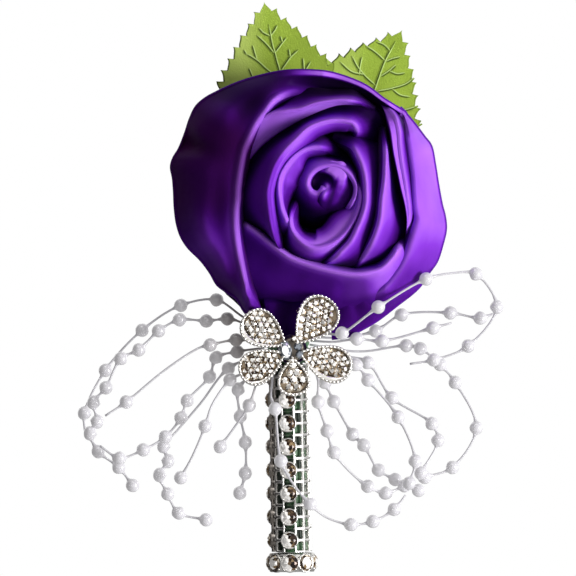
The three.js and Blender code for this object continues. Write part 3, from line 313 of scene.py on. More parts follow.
def pearl_finish():
    """Moulded pearls on a clear line: lilac white beads, greyer translucent line, both with a painted glow,
    and painted shade near the neck at the left
    """
    bead = Finish("pearl_beads")
    round_part = bead.attribute("bead")
    shade = bead.attribute("shade")
    clouds = bead.noise(260, 2)
    line = bead.mix(clouds, (0.38, 0.37, 0.39, 1), (0.52, 0.51, 0.53, 1))
    white = bead.mix(clouds, (0.42, 0.41, 0.44, 1), (0.52, 0.51, 0.54, 1))
    tone = bead.mix(round_part, line, white)
    # Painted glow of the beads and the line
    glow = bead.mix(round_part, (0.62, 0.61, 0.65, 1), (1.0, 0.98, 1.0, 1))
    # Painted shade near the neck at the left darkens both the tone and the glow
    return bead.finish(
        Base_Color=bead.mix(shade, tone, (0.27, 0.235, 0.22, 1)),
        Roughness=0.26 - round_part * 0.06,
        Coat_Weight=round_part * 0.6,
        Coat_Roughness=0.1,
        Subsurface_Weight=0.15,
        Subsurface_Radius=(1, 0.9, 0.95),
        Subsurface_Scale=PEARL_GLOW_DEPTH,
        Emission_Color=bead.mix(shade, glow, (0.09, 0.075, 0.07, 1)),
        Emission_Strength=0.25,
    )


def ribbon_finish():
    """Green satin ribbon wound round the stem, with painted shade on the half of each turn that lies under
    the turn above and on the stem's left
    """
    cloth = Finish("green_ribbon")
    weave = cloth.noise(1800, 2, (1, 1, 0.3))
    clouds = cloth.noise(160, 2)
    tone = cloth.mix(clouds, (0.055, 0.15, 0.06, 1), (0.10, 0.24, 0.11, 1))
    # Painted shade under each turn and at the stem's left
    tone = cloth.mix(cloth.attribute("lap"), tone, (0.004, 0.014, 0.006, 1))
    return cloth.finish(
        Base_Color=tone,
        Roughness=0.38 + weave * 0.12,
        Sheen_Weight=0.2,
        Sheen_Tint=(0.5, 0.9, 0.6, 1),
        Normal=cloth.bump(weave, WEAVE_DEPTH, 0.5),
    )


def felt_finish(name, dark, light):
    """Felt: matted fibres with a soft nap"""
    cloth = Finish(name)
    fibres = cloth.noise(2200, 5)
    mottle = cloth.noise(320, 3)
    tone = cloth.mix(mottle * 0.5 + fibres * 0.5, dark, light)
    return cloth.finish(
        Base_Color=tone,
        Roughness=0.95,
        Specular_IOR_Level=0.1,
        Sheen_Weight=0.4,
        Sheen_Tint=(0.7, 0.6, 0.9, 1),
        Normal=cloth.bump(fibres, FELT_NAP_DEPTH, 0.8),
    )


def rod_finish():
    """Wooden stem rod with grain along it"""
    wood = Finish("rod_wood")
    grain = wood.noise(500, 4, (1, 1, 0.08))
    tone = wood.mix(grain, (0.36, 0.24, 0.12, 1), (0.62, 0.47, 0.28, 1))
    return wood.finish(Base_Color=tone, Roughness=0.7, Normal=wood.bump(grain, WOOD_GRAIN_DEPTH, 0.6))


# Satin tones from painted shade in the deepest folds to painted light on the brightest crests
SATIN_STOPS = [(0, (0.005, 0.0006, 0.016, 1)), (0.25, (0.030, 0.002, 0.10, 1)),
               (0.5, (0.085, 0.006, 0.28, 1)), (0.75, (0.21, 0.035, 0.57, 1)), (1, (0.44, 0.15, 0.84, 1))]
SATIN = satin_finish("purple_satin", SATIN_STOPS, (0.85, 0.6, 1, 1), (0.72, 0.42, 1, 1))
LEAF = leaf_finish()
SILVER = silver_finish("bright_silver", (0.93, 0.91, 0.88, 1), (0.72, 0.69, 0.64, 1), 0.14)
# Plated mesh with painted shade on the stem's left
PLATED = silver_finish(
    "plated_mesh", (0.90, 0.90, 0.88, 1), (0.55, 0.53, 0.50, 1), 0.2, (0.26, 0.235, 0.21, 1))
# Painted shade: metal darkened for the beds under the crystals and for the hub under its stones
SHADED_BED_METAL = silver_finish("shaded_bed", (0.62, 0.50, 0.36, 1), (0.16, 0.11, 0.07, 1), 0.35)
SHADED_HUB_METAL = silver_finish("shaded_hub", (0.30, 0.26, 0.22, 1), (0.05, 0.042, 0.036, 1), 0.3)
STEEL = silver_finish("pin_steel", (0.72, 0.73, 0.75, 1), (0.50, 0.51, 0.53, 1), 0.24)
# Tones of the painted reflections in the stones' facets, warm and clear, from dark to white
WARM_STOPS = [(0, (0.012, 0.007, 0.006, 1)), (0.14, (0.07, 0.036, 0.020, 1)),
              (0.32, (0.34, 0.235, 0.12, 1)), (0.6, (0.62, 0.56, 0.47, 1)), (1, (1, 0.98, 0.95, 1))]
CLEAR_STOPS = [(0, (0.08, 0.09, 0.10, 1)), (0.3, (0.24, 0.27, 0.31, 1)), (0.6, (0.6, 0.64, 0.7, 1)),
               (1, (1, 1, 1, 1))]
# Painted shade: duller reflection tones for the stones at the stem's left
SHADED_STOPS = [(0, (0.010, 0.006, 0.005, 1)), (0.3, (0.05, 0.035, 0.026, 1)), (0.6, (0.16, 0.12, 0.09, 1)),
                (1, (0.42, 0.37, 0.32, 1))]
STONE = cut_stone_finish("cut_stones", WARM_STOPS)
SHADED_STONE = cut_stone_finish("shaded_stones", SHADED_STOPS)
CLEAR_STONE = cut_stone_finish("centre_stones", CLEAR_STOPS)
PEARL = pearl_finish()
RIBBON = ribbon_finish()
FELT = felt_finish("dark_felt", (0.010, 0.003, 0.022, 1), (0.045, 0.018, 0.085, 1))
ROD = rod_finish()


# Helpers for pieces
def loose_object(name, points, edges, faces):
    """Mesh object in the scene, with its place in its mesh"""
    mesh = bpy.data.meshes.new(name)
    mesh.from_pydata([tuple(point) for point in points], edges, faces)
    piece = bpy.data.objects.new(name, mesh)
    bpy.context.scene.collection.objects.link(piece)
    return piece


def claim(piece, nodes=()):
    """Lets a piece ride on the brooch and hides the parts that it stands for"""
    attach(piece, "brooch")
    if nodes:
        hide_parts(*nodes)


def shade_smooth(piece, smooth=True):
    """Shades the faces of a piece as one round surface, or each face flat"""
    for polygon in piece.data.polygons:
        polygon.use_smooth = smooth


def new_piece(name, points, faces, finish, nodes=(), smooth=True):
    """Visible piece of the brooch, made of points and faces"""
    piece = loose_object(name, points, [], faces)
    piece.data.materials.append(finish)
    piece.data.validate()
    shade_smooth(piece, smooth)
    claim(piece, nodes)
    return piece


def store(piece, name, values, domain="POINT"):
    """Keeps one number for each point or face of a piece"""
    layer = piece.data.attributes.new(name, "FLOAT", domain)
    layer.data.foreach_set("value", values)


def weld(piece, merge=True):
    """Merges points that share a place and turns the faces of a closed piece outwards"""
    shape = bmesh.new()
    shape.from_mesh(piece.data)
    if merge:
        bmesh.ops.remove_doubles(shape, verts=shape.verts, dist=WELD_GAP)
    bmesh.ops.recalc_face_normals(shape, faces=shape.faces)
    shape.to_mesh(piece.data)
    shape.free()


def turn_to_front(piece):
    """Turns the faces so that most of them look to the front"""
    facing = sum(polygon.normal.y * polygon.area for polygon in piece.data.polygons)
    if facing > 0:
        piece.data.flip_normals()


def ring_points(sides, radius, level, twist=0):
    """Points of a circle round the Z axis"""
    turns = [(i + twist) / sides * math.tau for i in range(sides)]
    return [(radius * math.cos(turn), radius * math.sin(turn), level) for turn in turns]


def lengths_along(line):
    """Distance of each place of a line from its start"""
    lengths = [0]
    for first, second in zip(line, line[1:]):
        lengths.append(lengths[-1] + (second - first).length)
    return lengths


def grid_faces(rows, columns, closed=False):
    """Faces of a sheet of points laid out row by row"""
    faces = []
    around = columns if closed else columns - 1
    for row in range(rows - 1):
        for column in range(around):
            beside = (column + 1) % columns
            a = row * columns + column
            b = row * columns + beside
            faces.append((a, b, b + columns, a + columns))
    return faces


def smooth_steps(low, high, value):
    """Share of the way from low to high, eased at both ends"""
    share = min(1, max(0, (value - low) / (high - low)))
    return share * share * (3 - 2 * share)


def table_value(table, place):
    """Smooth reading of a table of (place, value) rows"""
    if place <= table[0][0]:
        return table[0][1]
    for (p0, v0), (p1, v1) in zip(table, table[1:]):
        if place <= p1:
            return v0 + (v1 - v0) * smooth_steps(p0, p1, place)
    return table[-1][1]


def smooth_path(points, step):
    """Even points along a smooth curve through given points"""
    dense = []
    ends = [2 * points[0] - points[1]] + list(points) + [2 * points[-1] - points[-2]]
    for i in range(1, len(ends) - 2):
        p0, p1, p2, p3 = ends[i - 1:i + 3]
        t1 = max((p1 - p0).length, 1e-9) ** 0.5
        t2 = t1 + max((p2 - p1).length, 1e-9) ** 0.5
        t3 = t2 + max((p3 - p2).length, 1e-9) ** 0.5
        for k in range(PATH_PIECES):
            t = t1 + (t2 - t1) * k / PATH_PIECES
            a1 = p0 * ((t1 - t) / t1) + p1 * (t / t1)
            a2 = p1 * ((t2 - t) / (t2 - t1)) + p2 * ((t - t1) / (t2 - t1))
            a3 = p2 * ((t3 - t) / (t3 - t2)) + p3 * ((t - t2) / (t3 - t2))
            b1 = a1 * ((t2 - t) / t2) + a2 * (t / t2)
            b2 = a2 * ((t3 - t) / (t3 - t1)) + a3 * ((t - t1) / (t3 - t1))
            dense.append(b1 * ((t2 - t) / (t2 - t1)) + b2 * ((t - t1) / (t2 - t1)))
    dense.append(points[-1].copy())
    lengths = lengths_along(dense)
    count = max(2, round(lengths[-1] / step))
    even = []
    at = 0
    for k in range(count + 1):
        goal = lengths[-1] * k / count
        while at < len(lengths) - 2 and lengths[at + 1] < goal:
            at += 1
        span = max(lengths[at + 1] - lengths[at], 1e-12)
        even.append(dense[at].lerp(dense[at + 1], (goal - lengths[at]) / span))
    return even


# Rose: every fold is one width of satin ribbon, rolled over its rim. A rim is traced in picture columns and
# rows, heights are shares of the rose's depth, read along the rim, and so is the fall of the outer face.
FOLD_STEP = 0.45 * MM
ROLL = 0.85 * MM
INNER_WIDTH = 1.5 * MM
INNER_DEPTH = 8 * MM
UNDER_REACH = 2.6 * MM
UNDER_DROP = 6 * MM
LIP_WIDTH = 1.3 * MM
LONGEST_REACH = 9 * MM
EDGE_REACH_SHARE = 0.7
EDGE_ROLL = 0.9 * MM
EDGE_ROLL_STEPS = 6
USUAL_PAINTED_LIGHT = 0.93
BAND_FLAT_SHARE = 0.8
CREST_WIDTH = 1.0 * MM
CREST_END_FADE_SHARE = 0.5
BACK_STEPS = 16
BACK_RADIUS = 16 * MM
BACK_HEIGHT = 0.35 * MM
BACK_TURN = 9 * MM
GATHERS = 38
GATHER_DEPTH = 0.4 * MM
PETAL_STEPS = 34
PETAL_TURN = 0.75
ARC_DEGREES = 57
FOLD_SEED_STEP = 7.3
TUCK_LENGTH = 7 * MM
TUCK_DROP = 4.5 * MM
FACE_STEPS = 20
INNER_STEPS = 9
ROLL_STEPS = 6
WRINKLE_ALONG = 14 * MM
WRINKLE_ACROSS = 4 * MM
WRINKLE_DEPTH = 0.22 * MM
OWN_RIM_GAP = 1.2 * MM
RIM_GAP = 0.4 * MM
LEAST_REACH = 0.5 * MM
SHORT_REACH = 1 * MM
EDGE_MARGIN = 0.6 * MM
REACH_WINDOW = 2 * MM
LEAST_BAND = 0.2 * MM
LEAST_FACE = 0.6 * MM
LEAST_FALL = 1 * MM
FADE_LEAD = 0.4 * MM
PETAL_ROLL = ROLL * 1.2
CUP_WIDTH = 3 * MM
CUP_INSET = 1 * MM
CUP_DROP = 1.5 * MM
CUP_LIFT = 0.1 * MM
# Painted light and shade of each fold, read along it: one table for its wall, one for its rolled crest, one
# for its outer face
GLOW_TABLES = ("wall_glows", "crest_glows", "face_glows")

FOLDS = [
    {
        "name": "rose_fold_1",
        "fades": (7, 7),
        "lips": [(0, 0.2), (0.5, 0.3), (1, 0.6)],
        "bends": [(0, 1.5), (1, 1.5)],
        "rim": [(345, 169), (357, 182), (361.5, 195), (359.5, 209), (353, 223), (342.5, 236.5),
                (329, 245.5), (314, 248.5), (303, 243), (295.5, 236), (290.6, 228), (289.5, 217),
                (293, 206), (299, 195)],
        "height_shares": [(0, 0.8), (0.3, 0.86), (0.7, 0.88), (1, 0.84)],
        "fall_shares": [(0, 0.22), (0.25, 0.2), (0.6, 0.22), (1, 0.24)],
        "inner_shares": [(0, 0.9), (0.2, 1.4), (0.4, 2.9), (0.58, 2.4), (0.75, 1.1), (1, 0.8)],
        "depth_shares": [(0, 0.9), (0.2, 0.5), (0.33, 0.2), (0.58, 0.26), (0.75, 0.8), (1, 1)],
        "wall_glows": [(0, 0.55), (0.25, 0.9), (0.42, 1.1), (0.58, 1.1), (0.72, 0.75), (1, 0.6)],
        "face_glows": [(0, 0.6), (0.2, 0.7), (0.32, 1), (0.5, 1), (0.65, 0.6), (1, 0.5)],
        "tuck_shares": (1, 0.6),
    },
    {
        "name": "rose_fold_2",
        "fades": (7, 3),
        "lips": [(0, 0.3), (0.5, 0.5), (1, 0.6)],
        "bends": [(0, 1.4), (1, 1.4)],
        "rim": [(341, 158), (338, 155), (329, 148), (317, 146), (305, 148), (294, 155), (286, 164),
                (280, 174.5), (278, 186), (279, 199), (282, 212), (287, 223), (292, 234)],
        "height_shares": [(0, 0.8), (0.15, 0.88), (0.5, 0.91), (1, 0.88)],
        "fall_shares": [(0, 0.3), (0.5, 0.26), (1, 0.2)],
        "inner_shares": [(0, 1), (0.28, 1.3), (0.42, 2.9), (0.62, 2.9), (0.78, 1.3), (1, 0.8)],
        "depth_shares": [(0, 0.9), (0.28, 0.7), (0.42, 0.36), (0.62, 0.36), (0.78, 0.8), (1, 1)],
        "wall_glows": [(0, 0.5), (0.3, 0.75), (0.45, 0.85), (0.56, 0.85), (0.67, 0.6), (0.8, 0.45),
                       (1, 0.5)],
        "face_glows": [(0, 0.5), (0.5, 0.55), (1, 0.5)],
        "tuck_shares": (0.8, 0.5),
    },
    {
        "name": "rose_fold_3",
        "fades": (7, 3),
        "lips": [(0, 0.4), (0.5, 0.3), (1, 0.3)],
        "bends": [(0, 1.6), (1, 1.5)],
        "rim": [(333, 136), (345, 141), (353.5, 146), (358, 153), (363, 164), (366, 177), (367, 191),
                (366.5, 204), (363, 217), (358, 229), (352, 241), (343, 251), (333, 260), (322.6, 265.5)],
        "height_shares": [(0, 0.86), (0.3, 0.92), (0.7, 0.9), (1, 0.84)],
        "fall_shares": [(0, 0.3), (0.3, 0.34), (0.7, 0.26), (1, 0.2)],
        "inner_shares": [(0, 0.8), (1, 0.8)],
        "wall_glows": [(0, 0.6), (0.3, 0.7), (1, 0.6)],
        "face_glows": [(0, 0.4), (0.25, 0.5), (0.6, 0.5), (1, 0.5)],
        "tuck_shares": (1, 0.7),
    },
    {
        "name": "rose_fold_4",
        "fades": (2.5, 3),
        "lips": [(0, 0.3), (0.3, 0.6), (0.6, 0.8), (1, 0.7)],
        "bends": [(0, 0.8), (0.3, 0.9), (0.55, 1.2), (1, 1.3)],
        "rim": [(354, 138), (358, 133), (357, 126), (352, 121), (343, 119), (332, 119), (319, 122),
                (308, 127), (294, 140), (283.5, 151), (275, 164), (269.5, 179), (267, 193), (268, 208),
                (270, 222), (273, 235), (278, 247), (282.5, 253.6)],
        "height_shares": [(0, 0.86), (0.12, 0.94), (0.4, 1), (0.8, 0.98), (1, 0.88)],
        "fall_shares": [(0, 0.2), (0.2, 0.24), (0.5, 0.3), (1, 0.32)],
        "inner_shares": [(0, 0.9), (0.15, 1.3), (0.35, 1.7), (0.55, 1.5), (0.8, 1.1), (1, 0.7)],
        "depth_shares": [(0, 0.7), (0.15, 0.4), (0.35, 0.45), (0.6, 0.7), (1, 1)],
        "wall_glows": [(0, 0.6), (0.15, 0.75), (0.28, 0.85), (0.4, 0.95), (0.7, 0.85), (1, 0.6)],
        "face_glows": [(0, 0.35), (0.15, 0.42), (0.4, 0.5), (0.7, 0.5), (1, 0.45)],
        "crest_glows": [(0, 0.95), (0.4, 0.93), (0.6, 0.68), (0.8, 0.62), (1, 0.56)],
        "tuck_shares": (0.5, 0.7),
    },
    {
        "name": "rose_fold_5",
        "fades": (6, 3),
        "lips": [(0, 0.2), (1, 0.2)],
        "bends": [(0, 1.5), (1, 1.6)],
        "rim": [(384, 126), (385.6, 136.5), (386.5, 146), (386.5, 160), (385.5, 180), (383, 199),
                (381, 219), (376, 236), (369, 250), (361, 262), (356, 269)],
        "height_shares": [(0, 0.86), (0.3, 0.93), (0.7, 0.9), (1, 0.78)],
        "fall_shares": [(0, 0.36), (0.3, 0.42), (0.7, 0.4), (1, 0.3)],
        "inner_shares": [(0, 0.8), (1, 0.8)],
        "wall_glows": [(0, 0.4), (1, 0.5)],
        "face_glows": [(0, 0.6), (0.3, 0.85), (0.55, 0.8), (0.75, 0.6), (1, 0.42)],
        "tuck_shares": (1, 1),
    },
    {
        "name": "rose_fold_6",
        "fades": (3, 6),
        "lips": [(0, 0.4), (1, 0.5)],
        "bends": [(0, 1), (1, 1)],
        "rim": [(246, 140), (256, 123), (269, 113), (286, 110), (300, 108), (314, 103), (329, 100),
                (343, 99), (357, 101), (367, 104), (375, 108)],
        "foot": [(240, 176), (246, 166), (259, 149), (277, 134), (295, 123), (310, 115.5), (327, 108),
                 (338, 105), (350, 104.5), (362, 106), (371, 111)],
        "height_shares": [(0, 0.76), (0.4, 0.88), (0.8, 0.9), (1, 0.8)],
        "fall_shares": [(0, 0.2), (0.5, 0.3), (1, 0.34)],
        "inner_shares": [(0, 1), (1, 1)],
        "foot_drop_shares": [(0, 0.12), (0.5, 0.2), (0.8, 0.14), (1, 0.08)],
        "wall_glows": [(0, 0.6), (0.2, 0.95), (0.45, 0.97), (0.7, 1.1), (1, 0.7)],
        "face_glows": [(0, 0.3), (0.5, 0.35), (1, 0.35)],
        "tuck_shares": (0.6, 0.8),
    },
    {
        "name": "rose_fold_7",
        "fades": (2, 3),
        "lips": [(0, 0.4), (0.6, 0.4), (1, 0.3)],
        "bends": [(0, 0.9), (0.25, 0.65), (0.4, 0.52), (0.6, 0.55), (0.75, 0.9), (1, 1.4)],
        "rim": [(237, 219), (244, 225), (257.5, 234), (274, 247), (290, 258), (306, 264), (322.6, 269),
                (339, 272.6), (355, 274.7), (370, 273), (382, 269), (393, 258), (400, 247), (405, 236)],
        "height_shares": [(0, 0.66), (0.3, 0.72), (0.7, 0.74), (0.9, 0.72), (1, 0.64)],
        "fall_shares": [(0, 0.34), (0.3, 0.6), (0.6, 0.6), (0.8, 0.42), (1, 0.3)],
        "inner_shares": [(0, 0.6), (0.5, 0.8), (0.8, 0.9), (1, 0.6)],
        "reach_pixels": [(0, 36), (0.2, 66), (0.42, 72), (0.55, 60), (0.7, 42), (0.85, 26), (1, 16)],
        "closed_under": True,
        "wall_glows": [(0, 0.9), (1, 0.95)],
        "face_glows": [(0, 0.34), (0.3, 0.38), (0.55, 0.42), (0.68, 0.66), (0.78, 0.85), (0.9, 0.75),
                       (1, 0.6)],
        "crest_glows": [(0, 0.95), (0.3, 1.05), (1, 1)],
        "tuck_shares": (0.4, 0.5),
    },
    {
        "name": "rose_fold_8",
        "fades": (2, 3),
        "lips": [(0, 0.2), (1, 0.2)],
        "bends": [(0, 1.2), (1, 1.2)],
        "rim": [(384, 103), (389, 107), (394, 113), (398, 122), (400, 132), (400.5, 141), (402, 156),
                (405, 175), (408, 194), (410, 210), (410, 223.5), (408, 238)],
        "foot": [(380, 102), (384, 109), (387, 119), (390, 132), (393, 151), (397, 170), (401, 189),
                 (405, 205), (407, 218), (407, 228), (406, 236), (405, 243)],
        "height_shares": [(0, 0.66), (0.2, 0.78), (0.6, 0.8), (1, 0.7)],
        "fall_shares": [(0, 0.1), (0.3, 0.2), (0.5, 0.24), (1, 0.2)],
        "inner_shares": [(0, 1), (1, 1)],
        "foot_drop_shares": [(0, 0), (0.3, -0.035), (0.7, -0.035), (1, 0)],
        "wall_glows": [(0, 0.85), (0.5, 0.95), (1, 0.85)],
        "face_glows": [(0, 0.35), (0.5, 0.3), (1, 0.3)],
        "tuck_shares": (0.7, 0.8),
    },
]
BUD = {
    "name": "bud_curl",
    "fades": (0.5, 6),
    "lips": [(0, 0.1), (1, 0.2)],
    "bends": [(0, 1.4), (1, 1.5)],
    "rim": [(325, 184), (323, 190), (318, 194), (311, 192), (307, 185), (308.5, 176.6), (315, 169),
            (325, 165), (336, 165), (345, 169), (353, 177), (357, 186), (356, 197), (351, 206),
            (344, 214), (335, 222)],
    "height_shares": [(0, 0.85), (0.2, 0.86), (0.5, 0.88), (0.8, 0.86), (1, 0.76)],
    "fall_shares": [(0, 0.1), (0.3, 0.3), (0.5, 0.26), (0.8, 0.24), (1, 0.26)],
    "inner_shares": [(0, 0.3), (0.3, 0.5), (1, 0.5)],
    "wall_glows": [(0, 0.5), (0.3, 0.45), (0.6, 0.5), (1, 0.4)],
    "face_glows": [(0, 0.55), (0.12, 0.35), (0.25, 0.6), (0.38, 0.92), (0.5, 0.7), (0.6, 0.5), (1, 0.4)],
    "tuck_shares": (0.1, 0.8),
}
LEFT_RIM = [(340, 91), (325, 89.5), (310, 88.6), (295, 89.5), (282.5, 94), (273, 100), (265, 110),
            (256, 122.5), (249, 136), (243, 149), (240, 163), (238, 176), (236.5, 189.5), (236, 200),
            (235, 209), (235, 223.5), (236, 238), (238, 252), (241, 266.5), (244, 281), (247, 292),
            (252, 303), (258, 314), (263, 325)]
RIGHT_RIM = [(397, 108), (404, 115), (406, 121), (409, 136.5), (412, 156), (415, 175), (416, 194),
             (417, 210), (418.6, 219), (415, 233), (410, 249), (403, 265), (396, 276), (386, 288),
             (376.5, 293), (345, 300)]
LEFT_EDGE = [(410, 118), (404, 113), (383, 100), (367, 88), (350, 80), (330, 74), (310, 72), (285, 72.5),
             (262, 76.6), (240, 83), (217, 93), (206, 99), (197, 107), (191, 119), (186, 134), (180, 149),
             (174.5, 158), (172, 167), (174, 178), (175, 189.5), (176, 209), (178, 223.5), (182, 236),
             (189, 247), (202, 260), (211, 272), (218, 284), (227, 291), (237, 298), (243, 308),
             (250, 318), (254, 327), (258, 336)]
RIGHT_EDGE = [(396, 104), (401, 109.5), (412, 122), (423, 136.5), (430, 146), (434, 165), (437, 184),
              (441, 205), (443.5, 214), (445, 228), (441.6, 244), (436, 261), (429, 271), (418, 287),
              (396, 305), (376.5, 320), (361, 329), (349, 335), (340, 337)]


def flat_place(column, row, height):
    """Picture place on the rose at a height above its back, with its depth left out"""
    place = picture_place(column, row, ROSE_BACK - height)
    place.y = 0
    return place


def sideways(line, away_from):
    """Unit vectors square to a flat line, on the side away from a place"""
    ahead = []
    for i in range(len(line)):
        step = line[min(i + 1, len(line) - 1)] - line[max(i - 1, 0)]
        ahead.append(step.normalized())
    across = [Vector((step.z, 0, -step.x)) for step in ahead]
    middle = len(line) // 2
    if across[middle].dot(line[middle] - away_from) < 0:
        across = [-side for side in across]
    return across


def softened(values, window):
    """Running mean of a list"""
    soft = []
    for i in range(len(values)):
        near = values[max(0, i - window):i + window + 1]
        soft.append(sum(near) / len(near))
    return soft


def distance_ahead(start, direction, line):
    """Distance from a place along a direction to a flat line, without end where it meets none"""
    best = math.inf
    for first, second in zip(line, line[1:]):
        edge = second - first
        below = direction.x * edge.z - direction.z * edge.x
        if abs(below) < 1e-12:
            continue
        gap = first - start
        reach = (gap.x * edge.z - gap.z * edge.x) / below
        share = (gap.x * direction.z - gap.z * direction.x) / below
        if 0 < reach < best and 0 <= share <= 1:
            best = reach
    return best


def traced_line(spots, height):
    """Even flat line through picture places on the rose at one height"""
    return smooth_path([flat_place(*spot, height) for spot in spots], FOLD_STEP)


def middle_height(fold):
    """Height of a fold's rim halfway along it"""
    return ROSE_DEPTH * table_value(fold["height_shares"], 0.5)


LEFT_TOP = 0.82 * ROSE_DEPTH
RIGHT_TOP = 0.64 * ROSE_DEPTH
EDGE_TOP = 0.35 * ROSE_DEPTH
rose_middle = flat_place(*ROSE_CENTRE, ROSE_DEPTH)
fold_lines = {fold["name"]: traced_line(fold["rim"], middle_height(fold)) for fold in FOLDS + [BUD]}
fold_lines["outer_petal_left"] = traced_line(LEFT_RIM, LEFT_TOP)
fold_lines["outer_petal_right"] = traced_line(RIGHT_RIM, RIGHT_TOP)
left_edge_line = traced_line(LEFT_EDGE, EDGE_TOP)
right_edge_line = traced_line(RIGHT_EDGE, EDGE_TOP)

# A fold is covered by the rim of the next one, or by the foot of its wall where it has one
covers = dict(fold_lines)
for fold in FOLDS:
    if "foot" in fold:
        covers[fold["name"]] = traced_line(fold["foot"], middle_height(BUD))


def fold_reaches(name, line, across):
    """How far a fold's outer face runs at each point before the next rim covers it"""
    coarse = {other: rim[::4] + rim[-1:] for other, rim in covers.items()}
    reaches = []
    for point, side in zip(line, across):
        found = [LONGEST_REACH]
        for other, rim in coarse.items():
            start = point + side * (OWN_RIM_GAP if other == name else RIM_GAP)
            found.append(distance_ahead(start, side, rim))
        for edge in (left_edge_line, right_edge_line):
            gap = distance_ahead(point, side, edge[::4])
            found.append(max(LEAST_REACH, gap * EDGE_REACH_SHARE - EDGE_MARGIN))
        reaches.append(min(found))
    steady = []
    window = round(REACH_WINDOW / FOLD_STEP)
    for i in range(len(reaches)):
        steady.append(min(reaches[max(0, i - window):i + window + 1]))
    return softened(softened(steady, window), window)


def fold_section(height, inner_width, inner_depth, foot_drop, reach, fall, lip, bend, closed_under):
    """Offsets and heights across a fold, from its foot inside over the rolled rim to under the next fold"""
    section = []
    wall_top = height - ROLL
    for i in range(INNER_STEPS):
        share = i / INNER_STEPS
        if foot_drop is None:
            deep = inner_depth * (1 - share) ** 1.5
            aside = inner_width * (1 - share) ** 0.9
        else:
            deep = foot_drop * (1 - share) - ROLL * BAND_FLAT_SHARE if share > 0 else INNER_DEPTH
            aside = inner_width * (1 - share) if share > 0 else inner_width * 1.15
        section.append((-ROLL * 0.9 - aside, wall_top - deep, share))
    for i in range(ROLL_STEPS):
        turn = math.pi - math.pi / 2 * i / ROLL_STEPS
        flat_share = 0 if foot_drop is None else BAND_FLAT_SHARE
        rise = flat_share + (1 - flat_share) * math.sin(turn)
        section.append((ROLL * 0.9 * math.cos(turn), wall_top + ROLL * rise, 1))
    for i in range(FACE_STEPS + 1):
        share = i / FACE_STEPS
        behind = lip * smooth_steps(0, LIP_WIDTH, reach * share)
        section.append((reach * share, height - behind - fall * share ** bend, 1))
    low = height - fall - lip
    if closed_under:
        for i in range(1, BACK_STEPS + 1):
            share = i / BACK_STEPS
            aside = reach + EDGE_ROLL * math.sin(math.pi * share) - BACK_TURN * share ** 2
            section.append((aside, BACK_HEIGHT + max(0, low - BACK_HEIGHT) * (1 - share) ** 1.3, 1))
    else:
        under = min(UNDER_REACH, reach)
        section.append((reach + under * 0.6, low - UNDER_DROP * 0.4, 0.3))
        section.append((reach + under, low - UNDER_DROP, 0))
    return section


def fold_painted_light(aside, reach, open_share, glows, band):
    """Painted light of a place across a fold: painted light on the rolled rim, painted shade deep in the wall
    and where the next fold presses over it
    """
    wall_glow, crest_glow, face_glow = glows
    if aside < -ROLL * 0.95:
        return wall_glow if band and open_share > 0 else wall_glow * open_share ** 0.5
    if aside <= 0:
        return crest_glow
    near = math.exp(-(aside / CREST_WIDTH) ** 1.5)
    covered = 1 - 0.85 * smooth_steps(0.4, 1, aside / max(reach, SHORT_REACH))
    return (face_glow + (crest_glow - face_glow) * near) * covered


def round_under(edge_radius, edge_height):
    """Radius and height points from a petal's outer edge round its back to the sewn base"""
    section = []
    for i in range(1, EDGE_ROLL_STEPS + 1):
        turn = math.pi * i / EDGE_ROLL_STEPS
        aside = EDGE_ROLL * math.sin(turn) * 0.6
        section.append((edge_radius + aside, edge_height - EDGE_ROLL * (1 - math.cos(turn))))
    low = edge_height - EDGE_ROLL * 2
    for i in range(1, BACK_STEPS + 1):
        share = i / BACK_STEPS
        radius = edge_radius + (BACK_RADIUS - edge_radius) * share
        section.append((radius, low + (BACK_HEIGHT - low) * share ** 0.55))
    return section


def polar_reader(line):
    """Distance from the rose's middle to a line, read by angle in degrees, smoothly"""
    rows = []
    last = None
    for point in line:
        gap = point - rose_middle
        angle = math.degrees(math.atan2(gap.z, gap.x))
        if last is not None:
            while angle - last > 180:
                angle -= 360
            while angle - last < -180:
                angle += 360
        last = angle
        rows.append((angle, gap.length))
    rows.sort()

    def read(angle):
        for turn in (0, 360, -360):
            if rows[0][0] <= angle + turn <= rows[-1][0]:
                low, high = 0, len(rows) - 1
                while high - low > 1:
                    middle = (low + high) // 2
                    if rows[middle][0] <= angle + turn:
                        low = middle
                    else:
                        high = middle
                (a0, r0), (a1, r1) = rows[low], rows[high]
                return r0 + (r1 - r0) * (angle + turn - a0) / max(a1 - a0, 1e-9)
        return rows[0][1] if abs(angle - rows[0][0]) < abs(angle - rows[-1][0]) else rows[-1][1]

    return read


def rose_place(angle, radius, height):
    """Place on the rose at an angle and distance from its middle and a height above its back"""
    turn = math.radians(angle)
    x = rose_middle.x + radius * math.cos(turn)
    z = rose_middle.z + radius * math.sin(turn)
    return (x, ROSE_BACK - height, z)


def gathers(angle, share, seed):
    """Small pleats towards the sewn base at a petal's back"""
    wave = math.sin(math.radians(angle) * GATHERS + 3 * noise.noise(Vector((angle / 20, seed, 0))))
    return GATHER_DEPTH * wave * share


def face_area(piece):
    """Area of all faces of a piece"""
    return sum(polygon.area for polygon in piece.data.polygons)


def declare_cloth(piece, length):
    """Divides a piece's area by a ribbon length; nothing is kept of the result"""
    face_area(piece) / length


def satin_sheet(name, node, points, faces, gloss, length, to_back=False):
    """Open sheet of satin that faces the front or the back, made from a ribbon of the length given"""
    piece = new_piece(name, points, faces, SATIN, (node,))
    turn_to_front(piece)
    if to_back:
        piece.data.flip_normals()
    store(piece, "gloss", gloss)
    declare_cloth(piece, length)
    return piece


def fold_value(fold, key, share, usual):
    """Reading of a fold's table, or the usual value where the fold has no such table"""
    return table_value(fold[key], share) if key in fold else usual


